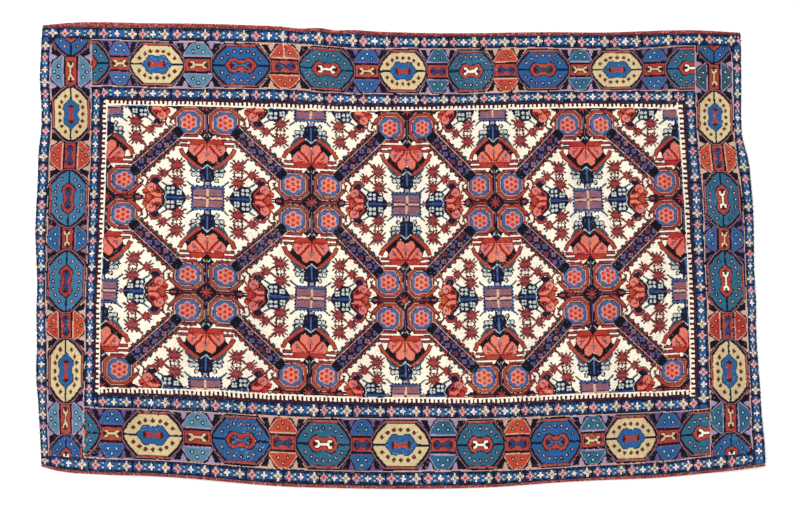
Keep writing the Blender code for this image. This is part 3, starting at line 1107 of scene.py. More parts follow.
@dataclass(frozen=True)
class Guard:
    """A narrow strip of small rosettes, laid out from where its yellow ones stand."""

    chart: Chart
    band: Band
    span: Point
    stars: tuple[float, ...]
    half_width: float = 6.0

    def draw(self) -> None:
        """Draws the strip."""
        ground = (
            (Yarn.NAVY, -1.05, 1.05),
            (Yarn.INDIGO, -0.84, -0.7),
            (Yarn.INDIGO, 0.7, 0.84),
            (Yarn.BLUE, -0.62, 0.62),
        )
        for yarn, low, high in ground:
            self.band.stripe(self.chart, yarn, low, high, self.span)
        for along in np.arange(self.span[0], self.span[1], 3.4):
            self._pen(along).box(Yarn.NAVY, (0, 3.0), (1.8, 4.8), UPRIGHT)
        for start, stop in zip(self.stars, self.stars[1:]):
            self._repeat(start, stop - start)
        self._star(self.stars[-1], Yarn.UNDYED, Yarn.OLIVE, 1.0)

    def _pen(self, along: float) -> Pen:
        """A pen at a place along the strip."""
        return Pen(self.chart, self.band.place(along, self.half_width))

    def _repeat(self, start: float, step: float) -> None:
        """Draws a yellow, a pink and an ivory rosette, with a waisted bar after each.

        Args:
            start: Where the yellow rosette stands.
            step: How far on the next yellow one stands.
        """
        self._star(start, Yarn.UNDYED, Yarn.OLIVE, 1.0)
        self._star(start + 0.31 * step, Yarn.ROSE, Yarn.VERMILION, 0.95)
        self._star(start + 0.64 * step, Yarn.IVORY, Yarn.ROSE, 0.68)
        for share in (0.155, 0.47, 0.83):
            pen = self._pen(start + share * step)
            pen.shape(Yarn.NAVY, ((-1.8, -5), (-0.8, 0), (-1.8, 5), (1.8, 5), (0.8, 0), (1.8, -5)))
            if share > 0.2:
                pen.disc(Yarn.SKY, (0, 2.0), (1.5, 1.3), UPRIGHT)
                pen.disc(Yarn.PEARL, (0.2, 1.9), (0.8, 0.8), UPRIGHT)

    def _star(self, middle: float, yarn: Yarn, heart: Yarn, size: float) -> None:
        """Draws one rosette, if it lies on the strip.

        Args:
            middle: Where it stands along the strip.
            yarn: The yarn of its points.
            heart: The yarn of its middle.
            size: Its size against the yellow ones.
        """
        if not self.span[0] < middle < self.span[1]:
            return
        pen = self._pen(middle)
        pen.disc(Yarn.NAVY, (0, 0), (4.4 * size, 4.4 * size))
        for x, y in ((2.4, 2.2), (-2.4, 2.2), (2.4, -2.2), (-2.4, -2.2)):
            pen.line(Yarn.LILAC, ((0, 0), (x * size, y * size)), 1.2 * size)
        for x, y in ((3.6, 0), (-3.6, 0), (0, 3.8), (0, -3.8)):
            pen.line(yarn, ((0, 0), (x * size, y * size)), 2.0 * size)
        pen.disc(yarn, (0, 0), (1.9 * size, 1.9 * size))
        pen.disc(heart, (0, 0), (1.3 * size, 1.3 * size))


@dataclass(frozen=True)
class Teeth:
    """The narrow dentil strip along one side of the field."""

    chart: Chart
    band: Band
    span: Point
    pitch: float

    def draw(self) -> None:
        """Draws the strip, its teeth and the ivory line that they stand on."""
        self.band.stripe(self.chart, Yarn.MAROON, -1.1, 1.1, self.span)
        for along in np.arange(*self.span, self.pitch):
            pen = Pen(self.chart, self.band.place(along, 1.0))
            pen.box(Yarn.IVORY, (0, -0.35), (self.pitch * 0.52, 0.7))
        self.band.stripe(self.chart, Yarn.IVORY, 0.62, 1.1, self.span)


def side_bands(outer: Frame, inner: Frame) -> tuple[Band, Band, Band, Band]:
    """The strips between two frames.

    Args:
        outer: The frame nearer to the rug's rim.
        inner: The frame nearer to its middle.

    Returns:
        The far, near, left and right strips.
    """
    return (
        Band(outer.far, inner.far, False),
        Band(outer.near, inner.near, False),
        Band(outer.left, inner.left, True),
        Band(outer.right, inner.right, True),
    )


# The figures of the main border, by where they start and stop along its sides.
FAR_MEDALLIONS = (
    Medallion(57, 109, Yarn.TEAL),
    Medallion(131, 183, Yarn.CREAM),
    Medallion(213, 269, Yarn.BLUE, Yarn.STEEL),
    Medallion(300, 353, Yarn.TEAL),
    Medallion(380, 426, Yarn.CREAM),
    Medallion(449, 493, Yarn.TEAL),
    Medallion(518, 568, Yarn.BLUE, Yarn.DEEP_TEAL),
    Medallion(592, 642, Yarn.CREAM),
    Medallion(667, 719, Yarn.TEAL),
)
FAR_PANELS = (
    Panel(109, 131, Yarn.CREAM, Yarn.STEEL, Yarn.PLUM),
    Panel(184, 213, Yarn.CREAM, Yarn.SKY, Yarn.LILAC),
    Panel(270, 300, Yarn.INDIGO, Yarn.ORANGE, Yarn.TAN),
    Panel(354, 380, Yarn.CREAM, Yarn.BLUE, Yarn.PLUM),
    Panel(427, 449, Yarn.INDIGO, Yarn.TEAL, Yarn.LILAC),
    Panel(494, 518, Yarn.INDIGO, Yarn.ORANGE, Yarn.TAN),
    Panel(568, 592, Yarn.CREAM, Yarn.TEAL, Yarn.LILAC),
    Panel(642, 667, Yarn.CREAM, Yarn.BLUE, Yarn.PLUM),
)
NEAR_MEDALLIONS = (
    Medallion(47, 99, Yarn.TEAL),
    Medallion(124, 182, Yarn.CREAM),
    Medallion(213, 269, Yarn.BLUE, Yarn.STEEL),
    Medallion(297, 350, Yarn.TEAL),
    Medallion(373, 429, Yarn.CREAM),
    Medallion(457, 504, Yarn.TEAL),
    Medallion(531, 580, Yarn.BLUE, Yarn.STEEL),
    Medallion(606, 656, Yarn.CREAM),
    Medallion(681, 733, Yarn.TEAL),
)
NEAR_PANELS = (
    Panel(99, 125, Yarn.CREAM, Yarn.BLUE, Yarn.PLUM),
    Panel(182, 213, Yarn.CREAM, Yarn.SKY, Yarn.LILAC),
    Panel(269, 297, Yarn.INDIGO, Yarn.ORANGE, Yarn.TAN),
    Panel(350, 374, Yarn.INDIGO, Yarn.BLUE, Yarn.PLUM),
    Panel(429, 457, Yarn.INDIGO, Yarn.TEAL, Yarn.LILAC),
    Panel(504, 531, Yarn.INDIGO, Yarn.ORANGE, Yarn.TAN),
    Panel(580, 606, Yarn.CREAM, Yarn.TEAL, Yarn.LILAC),
    Panel(656, 681, Yarn.CREAM, Yarn.BLUE, Yarn.PLUM),
)
LEFT_MEDALLIONS = (
    Medallion(3, 55, Yarn.BLUE),
    Medallion(88, 141, Yarn.CREAM),
    Medallion(171, 226, Yarn.AZURE, Yarn.INDIGO),
    Medallion(252, 311, Yarn.AZURE, Yarn.INDIGO),
    Medallion(340, 402, Yarn.CREAM),
    Medallion(436, 488, Yarn.BLUE),
)
LEFT_PANELS = (
    Panel(56, 88, Yarn.CREAM, Yarn.SKY, Yarn.LILAC),
    Panel(141, 170, Yarn.INDIGO, Yarn.ORANGE, Yarn.TAN),
    Panel(226, 252, Yarn.CREAM, Yarn.BLUE, Yarn.MAUVE),
    Panel(311, 340, Yarn.INDIGO, Yarn.ORANGE, Yarn.TAN),
    Panel(402, 435, Yarn.CREAM, Yarn.SKY, Yarn.LILAC),
)
RIGHT_MEDALLIONS = (
    Medallion(11, 63, Yarn.BLUE),
    Medallion(92, 143, Yarn.CREAM),
    Medallion(173, 227, Yarn.TEAL),
    Medallion(252, 311, Yarn.TEAL),
    Medallion(341, 402, Yarn.CREAM),
    Medallion(434, 486, Yarn.BLUE),
)
RIGHT_PANELS = (
    Panel(63, 92, Yarn.CREAM, Yarn.SLATE, Yarn.LILAC),
    Panel(143, 173, Yarn.INDIGO, Yarn.ORANGE, Yarn.TAN),
    Panel(227, 252, Yarn.CREAM, Yarn.BLUE, Yarn.PLUM),
    Panel(311, 341, Yarn.INDIGO, Yarn.VERMILION, Yarn.TAN),
    Panel(402, 434, Yarn.CREAM, Yarn.TEAL, Yarn.LILAC),
)

# Where the yellow rosettes of the narrow borders stand.
FAR_STARS = (
    15, 53, 91, 132.5, 165, 205, 244, 283, 319, 353, 387, 416,
    444, 474.5, 505, 538, 571.5, 604.5, 637, 668.5, 699.5, 731, 762,
)
NEAR_OUTER_STARS = (
    45, 82, 126.5, 166, 205, 240, 278, 314, 346, 380, 416.5,
    454.5, 489, 520, 552, 587, 621, 655, 688, 721, 756, 790,
)
NEAR_INNER_STARS = (
    58, 92, 126.5, 165, 204, 241.5, 278.5, 314, 347, 380.5,
    416, 452, 485.5, 516, 547.5, 583, 616.5, 649, 683.5, 716,
)
LEFT_STARS = (46, 83, 120, 157, 194, 230, 267, 304, 341, 378, 415, 452, 489)
RIGHT_OUTER_STARS = (20, 57, 94, 131, 168, 207, 243, 279, 317, 353, 390, 427, 464)
RIGHT_INNER_STARS = (66, 103, 140, 177, 213.5, 250, 287, 324, 361, 398, 435)

# The seed of the chance that wears the knots down along the short sides.
WEAR_SEED = 29


def draw_main_border(chart: Chart) -> None:
    """Draws the main border: the long sides first, and the short sides over the corners.

    Args:
        chart: The chart to draw on.
    """
    far, near, left, right = side_bands(MAIN_FRAME, INNER_FRAME)
    chart.keep_between(MAIN_FRAME, INNER_FRAME)
    chart.wash(Yarn.BLACK)
    sides = (
        (far, FAR_PANELS, FAR_MEDALLIONS, (40, 760)),
        (near, NEAR_PANELS, NEAR_MEDALLIONS, (40, 760)),
        (left, LEFT_PANELS, LEFT_MEDALLIONS, (30, 465)),
        (right, RIGHT_PANELS, RIGHT_MEDALLIONS, (40, 465)),
    )
    for band, panels, medallions, span in sides:
        band.stripe(chart, Yarn.BLACK, -1.3, 1.0, span)
        for panel in panels:
            panel.draw(chart, band)
        for medallion in medallions:
            medallion.draw(chart, band)
        band.stripe(chart, Yarn.TAN, -1.0, -0.96, span)
        band.stripe(chart, Yarn.TAN, 0.96, 1.0, span)


def draw_scuffs(chart: Chart) -> None:
    """Draws the pale scratches and the short mend that the photo shows.

    Args:
        chart: The chart to draw on.
    """
    pen = Pen(chart, lambda points: points)
    scratches = (
        ((283.5, 31), (283.0, 38), (283.6, 47), (284.6, 58)),
        ((472.4, 38), (473.0, 46)),
        ((404.6, 309.0), (406.4, 304.4), (409.2, 302.2)),
    )
    for scratch in scratches:
        pen.line(Yarn.PEARL, scratch, 0.7)


def draw_worn_rims(chart: Chart, left: Band, right: Band) -> None:
    """Draws the pale foundation where the pile has worn off along the short sides.

    Args:
        chart: The chart to draw on.
        left: The outermost strip of the left side.
        right: The outermost strip of the right side.
    """
    chance = np.random.default_rng(WEAR_SEED)
    for band, span in ((left, (30, 462)), (right, (37, 462))):
        for along in np.arange(*span, 1.9):
            if chance.random() < 0.5:
                pen = Pen(chart, band.place(along, 6.0))
                yarn = Yarn.PEARL if chance.random() < 0.6 else Yarn.SKY
                pen.box(yarn, (0, -6.6), (0.7 + chance.random(), -5.6 + 1.8 * chance.random() ** 2))


def draw_guards(chart: Chart) -> None:
    """Draws the narrow borders on both sides of the main one.

    Args:
        chart: The chart to draw on.
    """
    far, near, left, right = side_bands(OUTER_FRAME, MAIN_FRAME)
    chart.keep_between(OUTER_FRAME, MAIN_FRAME)
    chart.wash(Yarn.NAVY)
    Guard(chart, far, (36, 745), FAR_STARS).draw()
    Guard(chart, near, (36, 768), NEAR_OUTER_STARS).draw()
    Guard(chart, left, (38, 458), LEFT_STARS).draw()
    Guard(chart, right, (46, 464), RIGHT_OUTER_STARS).draw()
    draw_worn_rims(chart, left, right)
    far, near, left, right = side_bands(INNER_FRAME, TEETH_FRAME)
    chart.keep_between(INNER_FRAME, TEETH_FRAME)
    chart.wash(Yarn.NAVY)
    Guard(chart, far, (84, 700), FAR_STARS[1:-1]).draw()
    Guard(chart, near, (80, 712), NEAR_INNER_STARS).draw()
    Guard(chart, left, (90, 408), LEFT_STARS[1:-2]).draw()
    Guard(chart, right, (92, 408), RIGHT_INNER_STARS).draw()


def draw_chart() -> Chart:
    """Draws the whole rug.

    Returns:
        The finished chart, left open where the knots of the field lie.
    """
    chart = Chart(Yarn.IVORY)
    chart.keep_between(FIELD_FRAME, None)
    Lattice().draw(chart)
    chart.keep_between(TEETH_FRAME, FIELD_FRAME)
    chart.wash(Yarn.MAROON)
    far, near, left, right = side_bands(TEETH_FRAME, FIELD_FRAME)
    Teeth(chart, far, (94, 700), 4.4).draw()
    Teeth(chart, near, (92, 700), 4.4).draw()
    Teeth(chart, left, (100, 396), 5.0).draw()
    Teeth(chart, right, (100, 396), 5.0).draw()
    draw_main_border(chart)
    draw_guards(chart)
    chart.keep_between(OUTER_FRAME, None)
    draw_scuffs(chart)
    chart.keep_between(TEETH_FRAME, None)
    return chart


@dataclass(frozen=True)
class Finish:
    """How a yarn surface is shaded: its gloss, its sheen and how uneven it is."""

    roughness: float
    sheen: float
    speckle: float
    bump: float


PILE_FINISH = Finish(roughness=0.92, sheen=0.03, speckle=0.24, bump=0.0007)
BACK_FINISH = Finish(roughness=0.95, sheen=0.02, speckle=0.12, bump=0.0004)
CORD_FINISH = Finish(roughness=0.88, sheen=0.10, speckle=0.30, bump=0.0004)
WARP_FINISH = Finish(roughness=0.92, sheen=0.05, speckle=0.25, bump=0.0003)

# How much of a yarn's full colour the wool sends back, the bounds that most of a
# noise lies between, the colour of the foundation, and the names of the map and
# of the colours that the pieces carry.
DYE_STRENGTH = 0.74
MOST = (0.3, 0.7)
FOUNDATION = (0.62, 0.55, 0.45, 1)
MAP = "OFBake"
COLOURS = "yarn"

# Heights in metres: the pile and the back above the cloth's underside, how much
# the pile is rounded off at its rim and how far it hangs down there.
PILE_HEIGHT = 0.007
BACK_RISE = 0.0004
PILE_ROUNDING = 0.002
PILE_SKIRT = 0.0045


class Tree:
    """Adds nodes to a node tree and joins them."""

    def __init__(self, tree: bpy.types.NodeTree) -> None:
        """Starts on a tree, which it empties."""
        self.tree = tree
        tree.nodes.clear()

    def add(self, kind: str, inputs: dict[str | int, object], **settings: object) -> bpy.types.Node:
        """Adds one node.

        Args:
            kind: The node's type.
            inputs: What each input gets: an output to join to it, or a value.
            **settings: The node's own settings.

        Returns:
            The new node.
        """
        node = self.tree.nodes.new(kind)
        for name, value in settings.items():
            setattr(node, name, value)
        for key, value in inputs.items():
            if isinstance(value, Socket):
                self.tree.links.new(value, node.inputs[key])
            else:
                node.inputs[key].default_value = value
        return node

    def math(self, operation: str, *values: object) -> Socket:
        """One sum or product of two values, as an output."""
        return self.add("ShaderNodeMath", dict(enumerate(values)), operation=operation).outputs[0]

    def vector(self, operation: str, *values: object) -> Socket:
        """One sum or product of two vectors, as an output."""
        return self.add("ShaderNodeVectorMath", dict(enumerate(values)), operation=operation).outputs[0]

    def between(self, value: Socket, bounds: Point, to: Point) -> Socket:
        """A value's place between two bounds, carried over to two others."""
        return self.add("ShaderNodeMapRange", dict(enumerate((value, *bounds, *to)))).outputs[0]

    def noise(self, where: Socket, scale: float, detail: float) -> Socket:
        """A soft noise over a vector, as an output."""
        return self.add("ShaderNodeTexNoise", {"Vector": where, "Scale": scale, "Detail": detail}).outputs[0]

    def surface(self, colour: Socket, gloss: Socket, relief: tuple[Socket, float], finish: Finish) -> None:
        """Ends a material's tree in a wool surface.

        Args:
            colour: The surface's colour.
            gloss: Its roughness from place to place.
            relief: Its height from place to place, and how strongly that shows.
            finish: The finish of the yarn.
        """
        height, strength = relief
        bump = self.add("ShaderNodeBump", {"Strength": strength, "Distance": finish.bump, "Height": height})
        inputs = {
            "Base Color": colour,
            "Roughness": gloss,
            "Normal": bump.outputs[0],
            "Sheen Weight": finish.sheen,
            "Specular IOR Level": 0.08,
        }
        shader = self.add("ShaderNodeBsdfPrincipled", inputs)
        self.add("ShaderNodeOutputMaterial", {"Surface": shader.outputs[0]})


def new_material(name: str) -> tuple[bpy.types.Material, Tree, Socket]:
    """Starts a material.

    Args:
        name: The material's name.

    Returns:
        The material, its emptied tree and the place of each point on the piece.
    """
    material = bpy.data.materials.new(name)
    material.use_nodes = True
    tree = Tree(material.node_tree)
    return material, tree, tree.add("ShaderNodeTexCoord", {}).outputs["Object"]


def knotted_material(name: str, finish: Finish, knots: tuple[int, int]) -> bpy.types.Material:
    """A knotted surface whose yarns come from the piece's own colours.

    Args:
        name: The material's name.
        finish: The finish of the yarn.
        knots: The counts of knots along and across the piece's map.

    Returns:
        The material.
    """
    material, tree, spot = new_material(name)
    knot = tree.vector("MULTIPLY", tree.add("ShaderNodeUVMap", {}, uv_map=MAP).outputs[0], (*knots, 1))
    yarn = tree.add("ShaderNodeAttribute", {}, attribute_name=COLOURS).outputs["Color"]

    # Every knot, every dye lot and every larger cloud has its own depth of dye.
    each = tree.vector("FLOOR", knot)
    tuft = tree.add("ShaderNodeTexWhiteNoise", {0: each}, noise_dimensions="2D").outputs[0]
    bands = tree.noise(tree.vector("MULTIPLY", spot, (13, 1.3, 1)), 1.0, 5.0)
    clouds = tree.noise(spot, 3.1, 4.0)
    level = tree.between(tuft, (0, 1), (1 - finish.speckle, 1 + finish.speckle))
    level = tree.math("MULTIPLY", level, tree.between(bands, MOST, (0.88, 1.12)))
    level = tree.math("MULTIPLY", level, tree.between(clouds, MOST, (0.94, 1.06)))
    level = tree.math("MULTIPLY", level, DYE_STRENGTH)
    shift = tree.between(bands, MOST, (0.492, 0.508))
    dyed = tree.add("ShaderNodeHueSaturation", {"Hue": shift, "Value": level, "Color": yarn}).outputs[0]

    # Specks of the foundation show through, more of them in patches.
    fray = tree.between(tree.noise(spot, 210.0, 3.0), (0.60, 0.72), (0, 1))
    patches = tree.between(tree.noise(spot, 6.0, 5.0), (0.48, 0.66), (0.05, 0.55))
    wear = tree.math("MULTIPLY", fray, patches)
    worn = tree.add("ShaderNodeMix", {0: wear, 6: dyed, 7: FOUNDATION}, data_type="RGBA").outputs[2]

    # Each knot is a small rounded tip of loose fibres.
    inside = tree.vector("SUBTRACT", tree.vector("FRACTION", knot), (0.5, 0.5, 0))
    from_middle = tree.add("ShaderNodeVectorMath", {0: inside}, operation="LENGTH").outputs["Value"]
    tip = tree.between(from_middle, (0.2, 0.7), (1, 0))
    fuzz = tree.noise(spot, 900.0, 2.0)
    height = tree.math("ADD", tree.math("MULTIPLY", tip, 0.7), tree.math("MULTIPLY", fuzz, 0.6))
    gloss = tree.between(fuzz, MOST, (finish.roughness - 0.06, finish.roughness + 0.05))
    tree.surface(worn, gloss, (height, 0.6), finish)
    return material


def cord_material(name: str, finish: Finish, shades: Sequence[Yarn], pitch: float) -> bpy.types.Material:
    """A wool cord or warp whose wraps take their shades by turns and by chance.

    Args:
        name: The material's name.
        finish: The finish of the yarn.
        shades: The yarns from the darkest to the lightest.
        pitch: The length over which one shade holds, in metres.

    Returns:
        The material.
    """
    material, tree, spot = new_material(name)
    wraps = tree.noise(tree.vector("MULTIPLY", spot, (1 / pitch, 1 / pitch, 0.2 / pitch)), 1.0, 1.0)
    ramp = tree.add("ShaderNodeValToRGB", {0: tree.between(wraps, (0.28, 0.72), (0, 1))})
    steps = ramp.color_ramp.elements
    steps[0].color = shades[0].linear
    steps[1].color = shades[-1].linear
    for index, shade in enumerate(shades[1:-1], 1):
        steps.new(index / (len(shades) - 1)).color = shade.linear
    fibre = tree.noise(spot, 1100.0, 3.0)
    level = tree.between(fibre, MOST, (1 - finish.speckle, 1 + finish.speckle))
    inputs = {"Value": tree.math("MULTIPLY", level, DYE_STRENGTH), "Color": ramp.outputs[0]}
    dyed = tree.add("ShaderNodeHueSaturation", inputs).outputs[0]
    gloss = tree.between(fibre, MOST, (finish.roughness - 0.06, finish.roughness + 0.06))
    tree.surface(dyed, gloss, (fibre, 0.7), finish)
    return material


class Part(Enum):
    """The parts of the knotted cloth that are built apart, to keep each light."""

    WHOLE = "whole"
    FIELD = "field"
    BORDER = "border"


@dataclass(frozen=True)
class KnotNet:
    """The net of knots over the rug's outline, in straight-sided blocks of knots."""

    columns: int
    rows: int
    block: int = 10
    rim: int = 2

    def _stations(self, count: int) -> np.ndarray:
        """Where the blocks part, counted in knots along one side."""
        return np.unique([0, self.rim, *range(self.block, count, self.block), count - self.rim, count])

    def _corners(self) -> np.ndarray:
        """The blocks' corners, spread between the four sides of the pile.

        Returns:
            Points in photo pixels, in rows from near to far.
        """
        u = self._stations(self.columns) / self.columns
        v = self._stations(self.rows) / self.rows
        near_x, far_x = NEAR_PILE.run(u), FAR_PILE.run(u)
        left_y, right_y = LEFT_PILE.run(v, back=True), RIGHT_PILE.run(v, back=True)
        near = np.column_stack([near_x, NEAR_PILE.at(near_x)])
        far = np.column_stack([far_x, FAR_PILE.at(far_x)])
        left = np.column_stack([LEFT_PILE.at(left_y), left_y])
        right = np.column_stack([RIGHT_PILE.at(right_y), right_y])
        across, away = u[None, :, None], v[:, None, None]
        ruled = near[None] * (1 - away) + far[None] * away
        crossed = left[:, None] * (1 - across) + right[:, None] * across
        twice = (near[0] * (1 - across) + near[-1] * across) * (1 - away)
        twice = twice + (far[0] * (1 - across) + far[-1] * across) * away
        return ruled + crossed - twice

    def _spread(self, corners: np.ndarray, half_step: bool) -> np.ndarray:
        """Carries values at the blocks' corners over to every knot.

        Args:
            corners: The values at the blocks' corners, in rows.
            half_step: Whether they are wanted at the knots' middles, not at their corners.

        Returns:
            The values, in rows from near to far.
        """
        for axis, count in ((0, self.rows), (1, self.columns)):
            stations = self._stations(count)
            where = np.arange(count) + 0.5 if half_step else np.arange(count + 1.0)
            cell = np.clip(np.searchsorted(stations, where, side="right") - 1, 0, len(stations) - 2)
            share = (where - stations[cell]) / (stations[cell + 1] - stations[cell])
            share = share.reshape((-1, 1, 1) if axis == 0 else (1, -1, 1))
            corners = corners.take(cell, axis) * (1 - share) + corners.take(cell + 1, axis) * share
        return corners

    def yarns(self, chart: Chart, part: Part) -> np.ndarray:
        """The yarn of every knot of one part.

        Args:
            chart: The chart to read the yarns off.
            part: The part of the cloth.

        Returns:
            Places in the list of yarns, and -1 outside the part.
        """
        yarns, in_field = chart.read(self._spread(self._corners(), True))
        kept = {Part.WHOLE: np.ones_like(in_field), Part.FIELD: in_field, Part.BORDER: ~in_field}[part]
        return np.where(kept, yarns, -1)

    def surface(self, rise: float, rounding: float) -> np.ndarray:
        """The corners of all knots in space.

        Args:
            rise: How far the surface stands above the cloth's underside, in metres.
            rounding: How much lower it is at its rim, in metres.

        Returns:
            An array of rows from near to far, of columns from left to right.
        """
        floor = LENS.to_floor(self._corners())
        height = WAVES.lift(floor[..., 0], floor[..., 1]) + rise
        height[[0, -1], :] -= rounding
        height[1:-1, [0, -1]] -= rounding
        return self._spread(np.dstack([floor, height]), False)

    def runs(self, yarns: np.ndarray) -> np.ndarray:
        """Gathers knots of one yarn that lie side by side into blocks.

        Args:
            yarns: The yarn of every knot, with -1 where there is none.

        Returns:
            One row for each block: its near row, far row, left column, right column and yarn.
        """
        change = np.ones(yarns.shape, bool)
        change[:, 1:] = yarns[:, 1:] != yarns[:, :-1]
        change[:, self._stations(self.columns)[:-1]] = True
        row, start = np.nonzero(change)
        flat = row * self.columns + start
        stop = start + np.diff(np.append(flat, yarns.size))
        yarn = yarns[row, start]
        order = np.lexsort((row, yarn, stop, start))
        row, start, stop, yarn = row[order], start[order], stop[order], yarn[order]
        fresh = np.ones(len(row), bool)
        same = (start[1:] == start[:-1]) & (stop[1:] == stop[:-1]) & (yarn[1:] == yarn[:-1])
        fresh[1:] = ~(same & (row[1:] == row[:-1] + 1)) | np.isin(row[1:], self._stations(self.rows))
        first = np.nonzero(fresh)[0]
        last = np.append(first[1:], len(row)) - 1
        blocks = np.column_stack([row[first], row[last] + 1, start[first], stop[first], yarn[first]])
        return blocks[blocks[:, 4] >= 0]


def make_mesh(
    name: str, points: np.ndarray, faces: np.ndarray, uv: np.ndarray, colours: np.ndarray
) -> bpy.types.Object:
    """Adds a mesh of four-sided faces with a map and a colour for each face.

    Args:
        name: The object's name.
        points: The vertices.
        faces: Four vertices for each face, turning to face outwards.
        uv: The map's coordinates for each corner of each face.
        colours: One linear colour for each face.

    Returns:
        The new object.
    """
    mesh = bpy.data.meshes.new(name)
    mesh.vertices.add(len(points))
    mesh.vertices.foreach_set("co", points.astype(np.float32).ravel())
    mesh.loops.add(faces.size)
    mesh.loops.foreach_set("vertex_index", faces.astype(np.int32).ravel())
    mesh.polygons.add(len(faces))
    mesh.polygons.foreach_set("loop_start", np.arange(0, faces.size, 4, dtype=np.int32))
    mesh.update(calc_edges=True)
    mesh.uv_layers.new(name=MAP).uv.foreach_set("vector", uv.astype(np.float32).ravel())
    layer = mesh.attributes.new(COLOURS, "FLOAT_COLOR", "FACE")
    layer.data.foreach_set("color", colours.astype(np.float32).ravel())
    item = bpy.data.objects.new(name, mesh)
    bpy.context.scene.collection.objects.link(item)
    return item


@dataclass(frozen=True)
class Pile:
    """The knotted face of the rug, or its back, as one piece."""

    name: str
    net: KnotNet
    rise: float
    rounding: float
    upward: bool
    finish: Finish
    part: Part = Part.WHOLE
    skirt: float = 0.0

    def build(self, chart: Chart) -> bpy.types.Object:
        """Builds and dresses the piece.

        Args:
            chart: The chart that the knots take their yarn from.

        Returns:
            The piece.
        """
        net = self.net
        yarns = net.yarns(chart, self.part)
        surface = net.surface(self.rise, self.rounding)
        low, high, left, right, yarn = net.runs(yarns).T
        rows = np.stack([low, low, high, high], axis=1)
        columns = np.stack([left, right, right, left], axis=1)
        if self.skirt:
            rim_rows, rim_columns, rim_yarn, drop = self._rim(yarns)
            rows = np.concatenate([rows, rim_rows])
            columns = np.concatenate([columns, rim_columns])
            yarn = np.concatenate([yarn, rim_yarn])
        flat = rows * (net.columns + 1) + columns
        corners = surface.reshape(-1, 3)[flat.ravel()]
        if self.skirt:
            corners[-drop.size :, 2] -= drop.ravel() * self.skirt
            flat[-len(drop) :] += drop * surface.shape[0] * surface.shape[1]
        _, first, faces = np.unique(flat.ravel(), return_index=True, return_inverse=True)
        faces = faces.reshape(-1, 4)
        uv = np.stack([columns / net.columns, rows / net.rows], axis=-1)
        if not self.upward:
            faces, uv = faces[:, ::-1], uv[:, ::-1]
        colours = np.array([shade.linear for shade in Yarn])[yarn]
        piece = make_mesh(self.name, corners[first], faces, uv, colours)
        knots = (net.columns, net.rows)
        piece.data.materials.append(knotted_material(self.name + "_wool", self.finish, knots))
        return piece

    def _rim(self, yarns: np.ndarray) -> tuple[np.ndarray, np.ndarray, np.ndarray, np.ndarray]:
        """Finds the faces that hang down round the rim.

        Args:
            yarns: The yarn of every knot.

        Returns:
            The rows and columns of their corners, their yarns, and a 1 for each corner that hangs.
        """
        rows, columns = yarns.shape
        across = np.arange(columns)
        away = np.arange(rows)
        sides = (
            (np.zeros(columns, int), np.zeros(columns, int), across, across + 1, yarns[0]),
            (np.full(columns, rows), np.full(columns, rows), across + 1, across, yarns[-1]),
            (away + 1, away, np.zeros(rows, int), np.zeros(rows, int), yarns[:, 0]),
            (away, away + 1, np.full(rows, columns), np.full(rows, columns), yarns[:, -1]),
        )
        near, far, left, right, yarn = (np.concatenate(column) for column in zip(*sides))
        rim_rows = np.stack([near, far, far, near], axis=1)
        rim_columns = np.stack([left, right, right, left], axis=1)
        drop = np.tile(np.array((1, 1, 0, 0)), (len(yarn), 1))
        return rim_rows, rim_columns, yarn, drop


@dataclass(frozen=True)
class Side:
    """One side of the pile, and the turn from its run that leads off the rug: 1 left, -1 right."""

    edge: Edge
    upright: bool
    turn: int

    def path(self, count: int) -> np.ndarray:
        """Points along the side, from the left or from the near side.

        Args:
            count: How many points.

        Returns:
            The points on the floor, in metres.
        """
        along = np.linspace(*self.edge.ends(self.upright), count)
        across = self.edge.at(along)
        return LENS.to_floor(np.column_stack([across, along] if self.upright else [along, across]))

    def outward(self, path: np.ndarray) -> np.ndarray:
        """Unit directions off the rug.

        Args:
            path: Points along the side.

        Returns:
            One direction for each point.
        """
        run = np.gradient(path, axis=0)
        run /= np.linalg.norm(run, axis=1, keepdims=True)
        return np.stack([-run[:, 1], run[:, 0]], axis=1) * self.turn


def add_points(name: str, points: np.ndarray, vectors: dict[str, np.ndarray]) -> bpy.types.Object:
    """Adds an object of loose points.

    Args:
        name: The object's name.
        points: The points.
        vectors: The vectors that the points carry, by name.

    Returns:
        The new object.
    """
    mesh = bpy.data.meshes.new(name)
    mesh.from_pydata(points.tolist(), [], [])
    for label, values in vectors.items():
        layer = mesh.attributes.new(label, "FLOAT_VECTOR", "POINT")
        layer.data.foreach_set("vector", values.astype(np.float32).ravel())
    item = bpy.data.objects.new(name, mesh)
    bpy.context.scene.collection.objects.link(item)
    return item


def settle(
    item: bpy.types.Object, group: bpy.types.NodeTree, settings: dict[str, float]
) -> bpy.types.Object:
    """Runs a geometry tree on an object and keeps the result as its plain mesh.

    Args:
        item: The object whose points the tree works on.
        group: The geometry tree.
        settings: The values of the tree's named inputs.

    Returns:
        The same object, with its new mesh.
    """
    modifier = item.modifiers.new("wraps", "NODES")
    modifier.node_group = group
    entries = group.interface.items_tree
    sockets = {entry.name: entry.identifier for entry in entries if entry.in_out == "INPUT"}
    for name, value in settings.items():
        modifier[sockets[name]] = value
    graph = bpy.context.evaluated_depsgraph_get()
    mesh = bpy.data.meshes.new_from_object(item.evaluated_get(graph), depsgraph=graph)
    item.modifiers.clear()
    item.data = mesh
    mesh.name = item.name
    return item


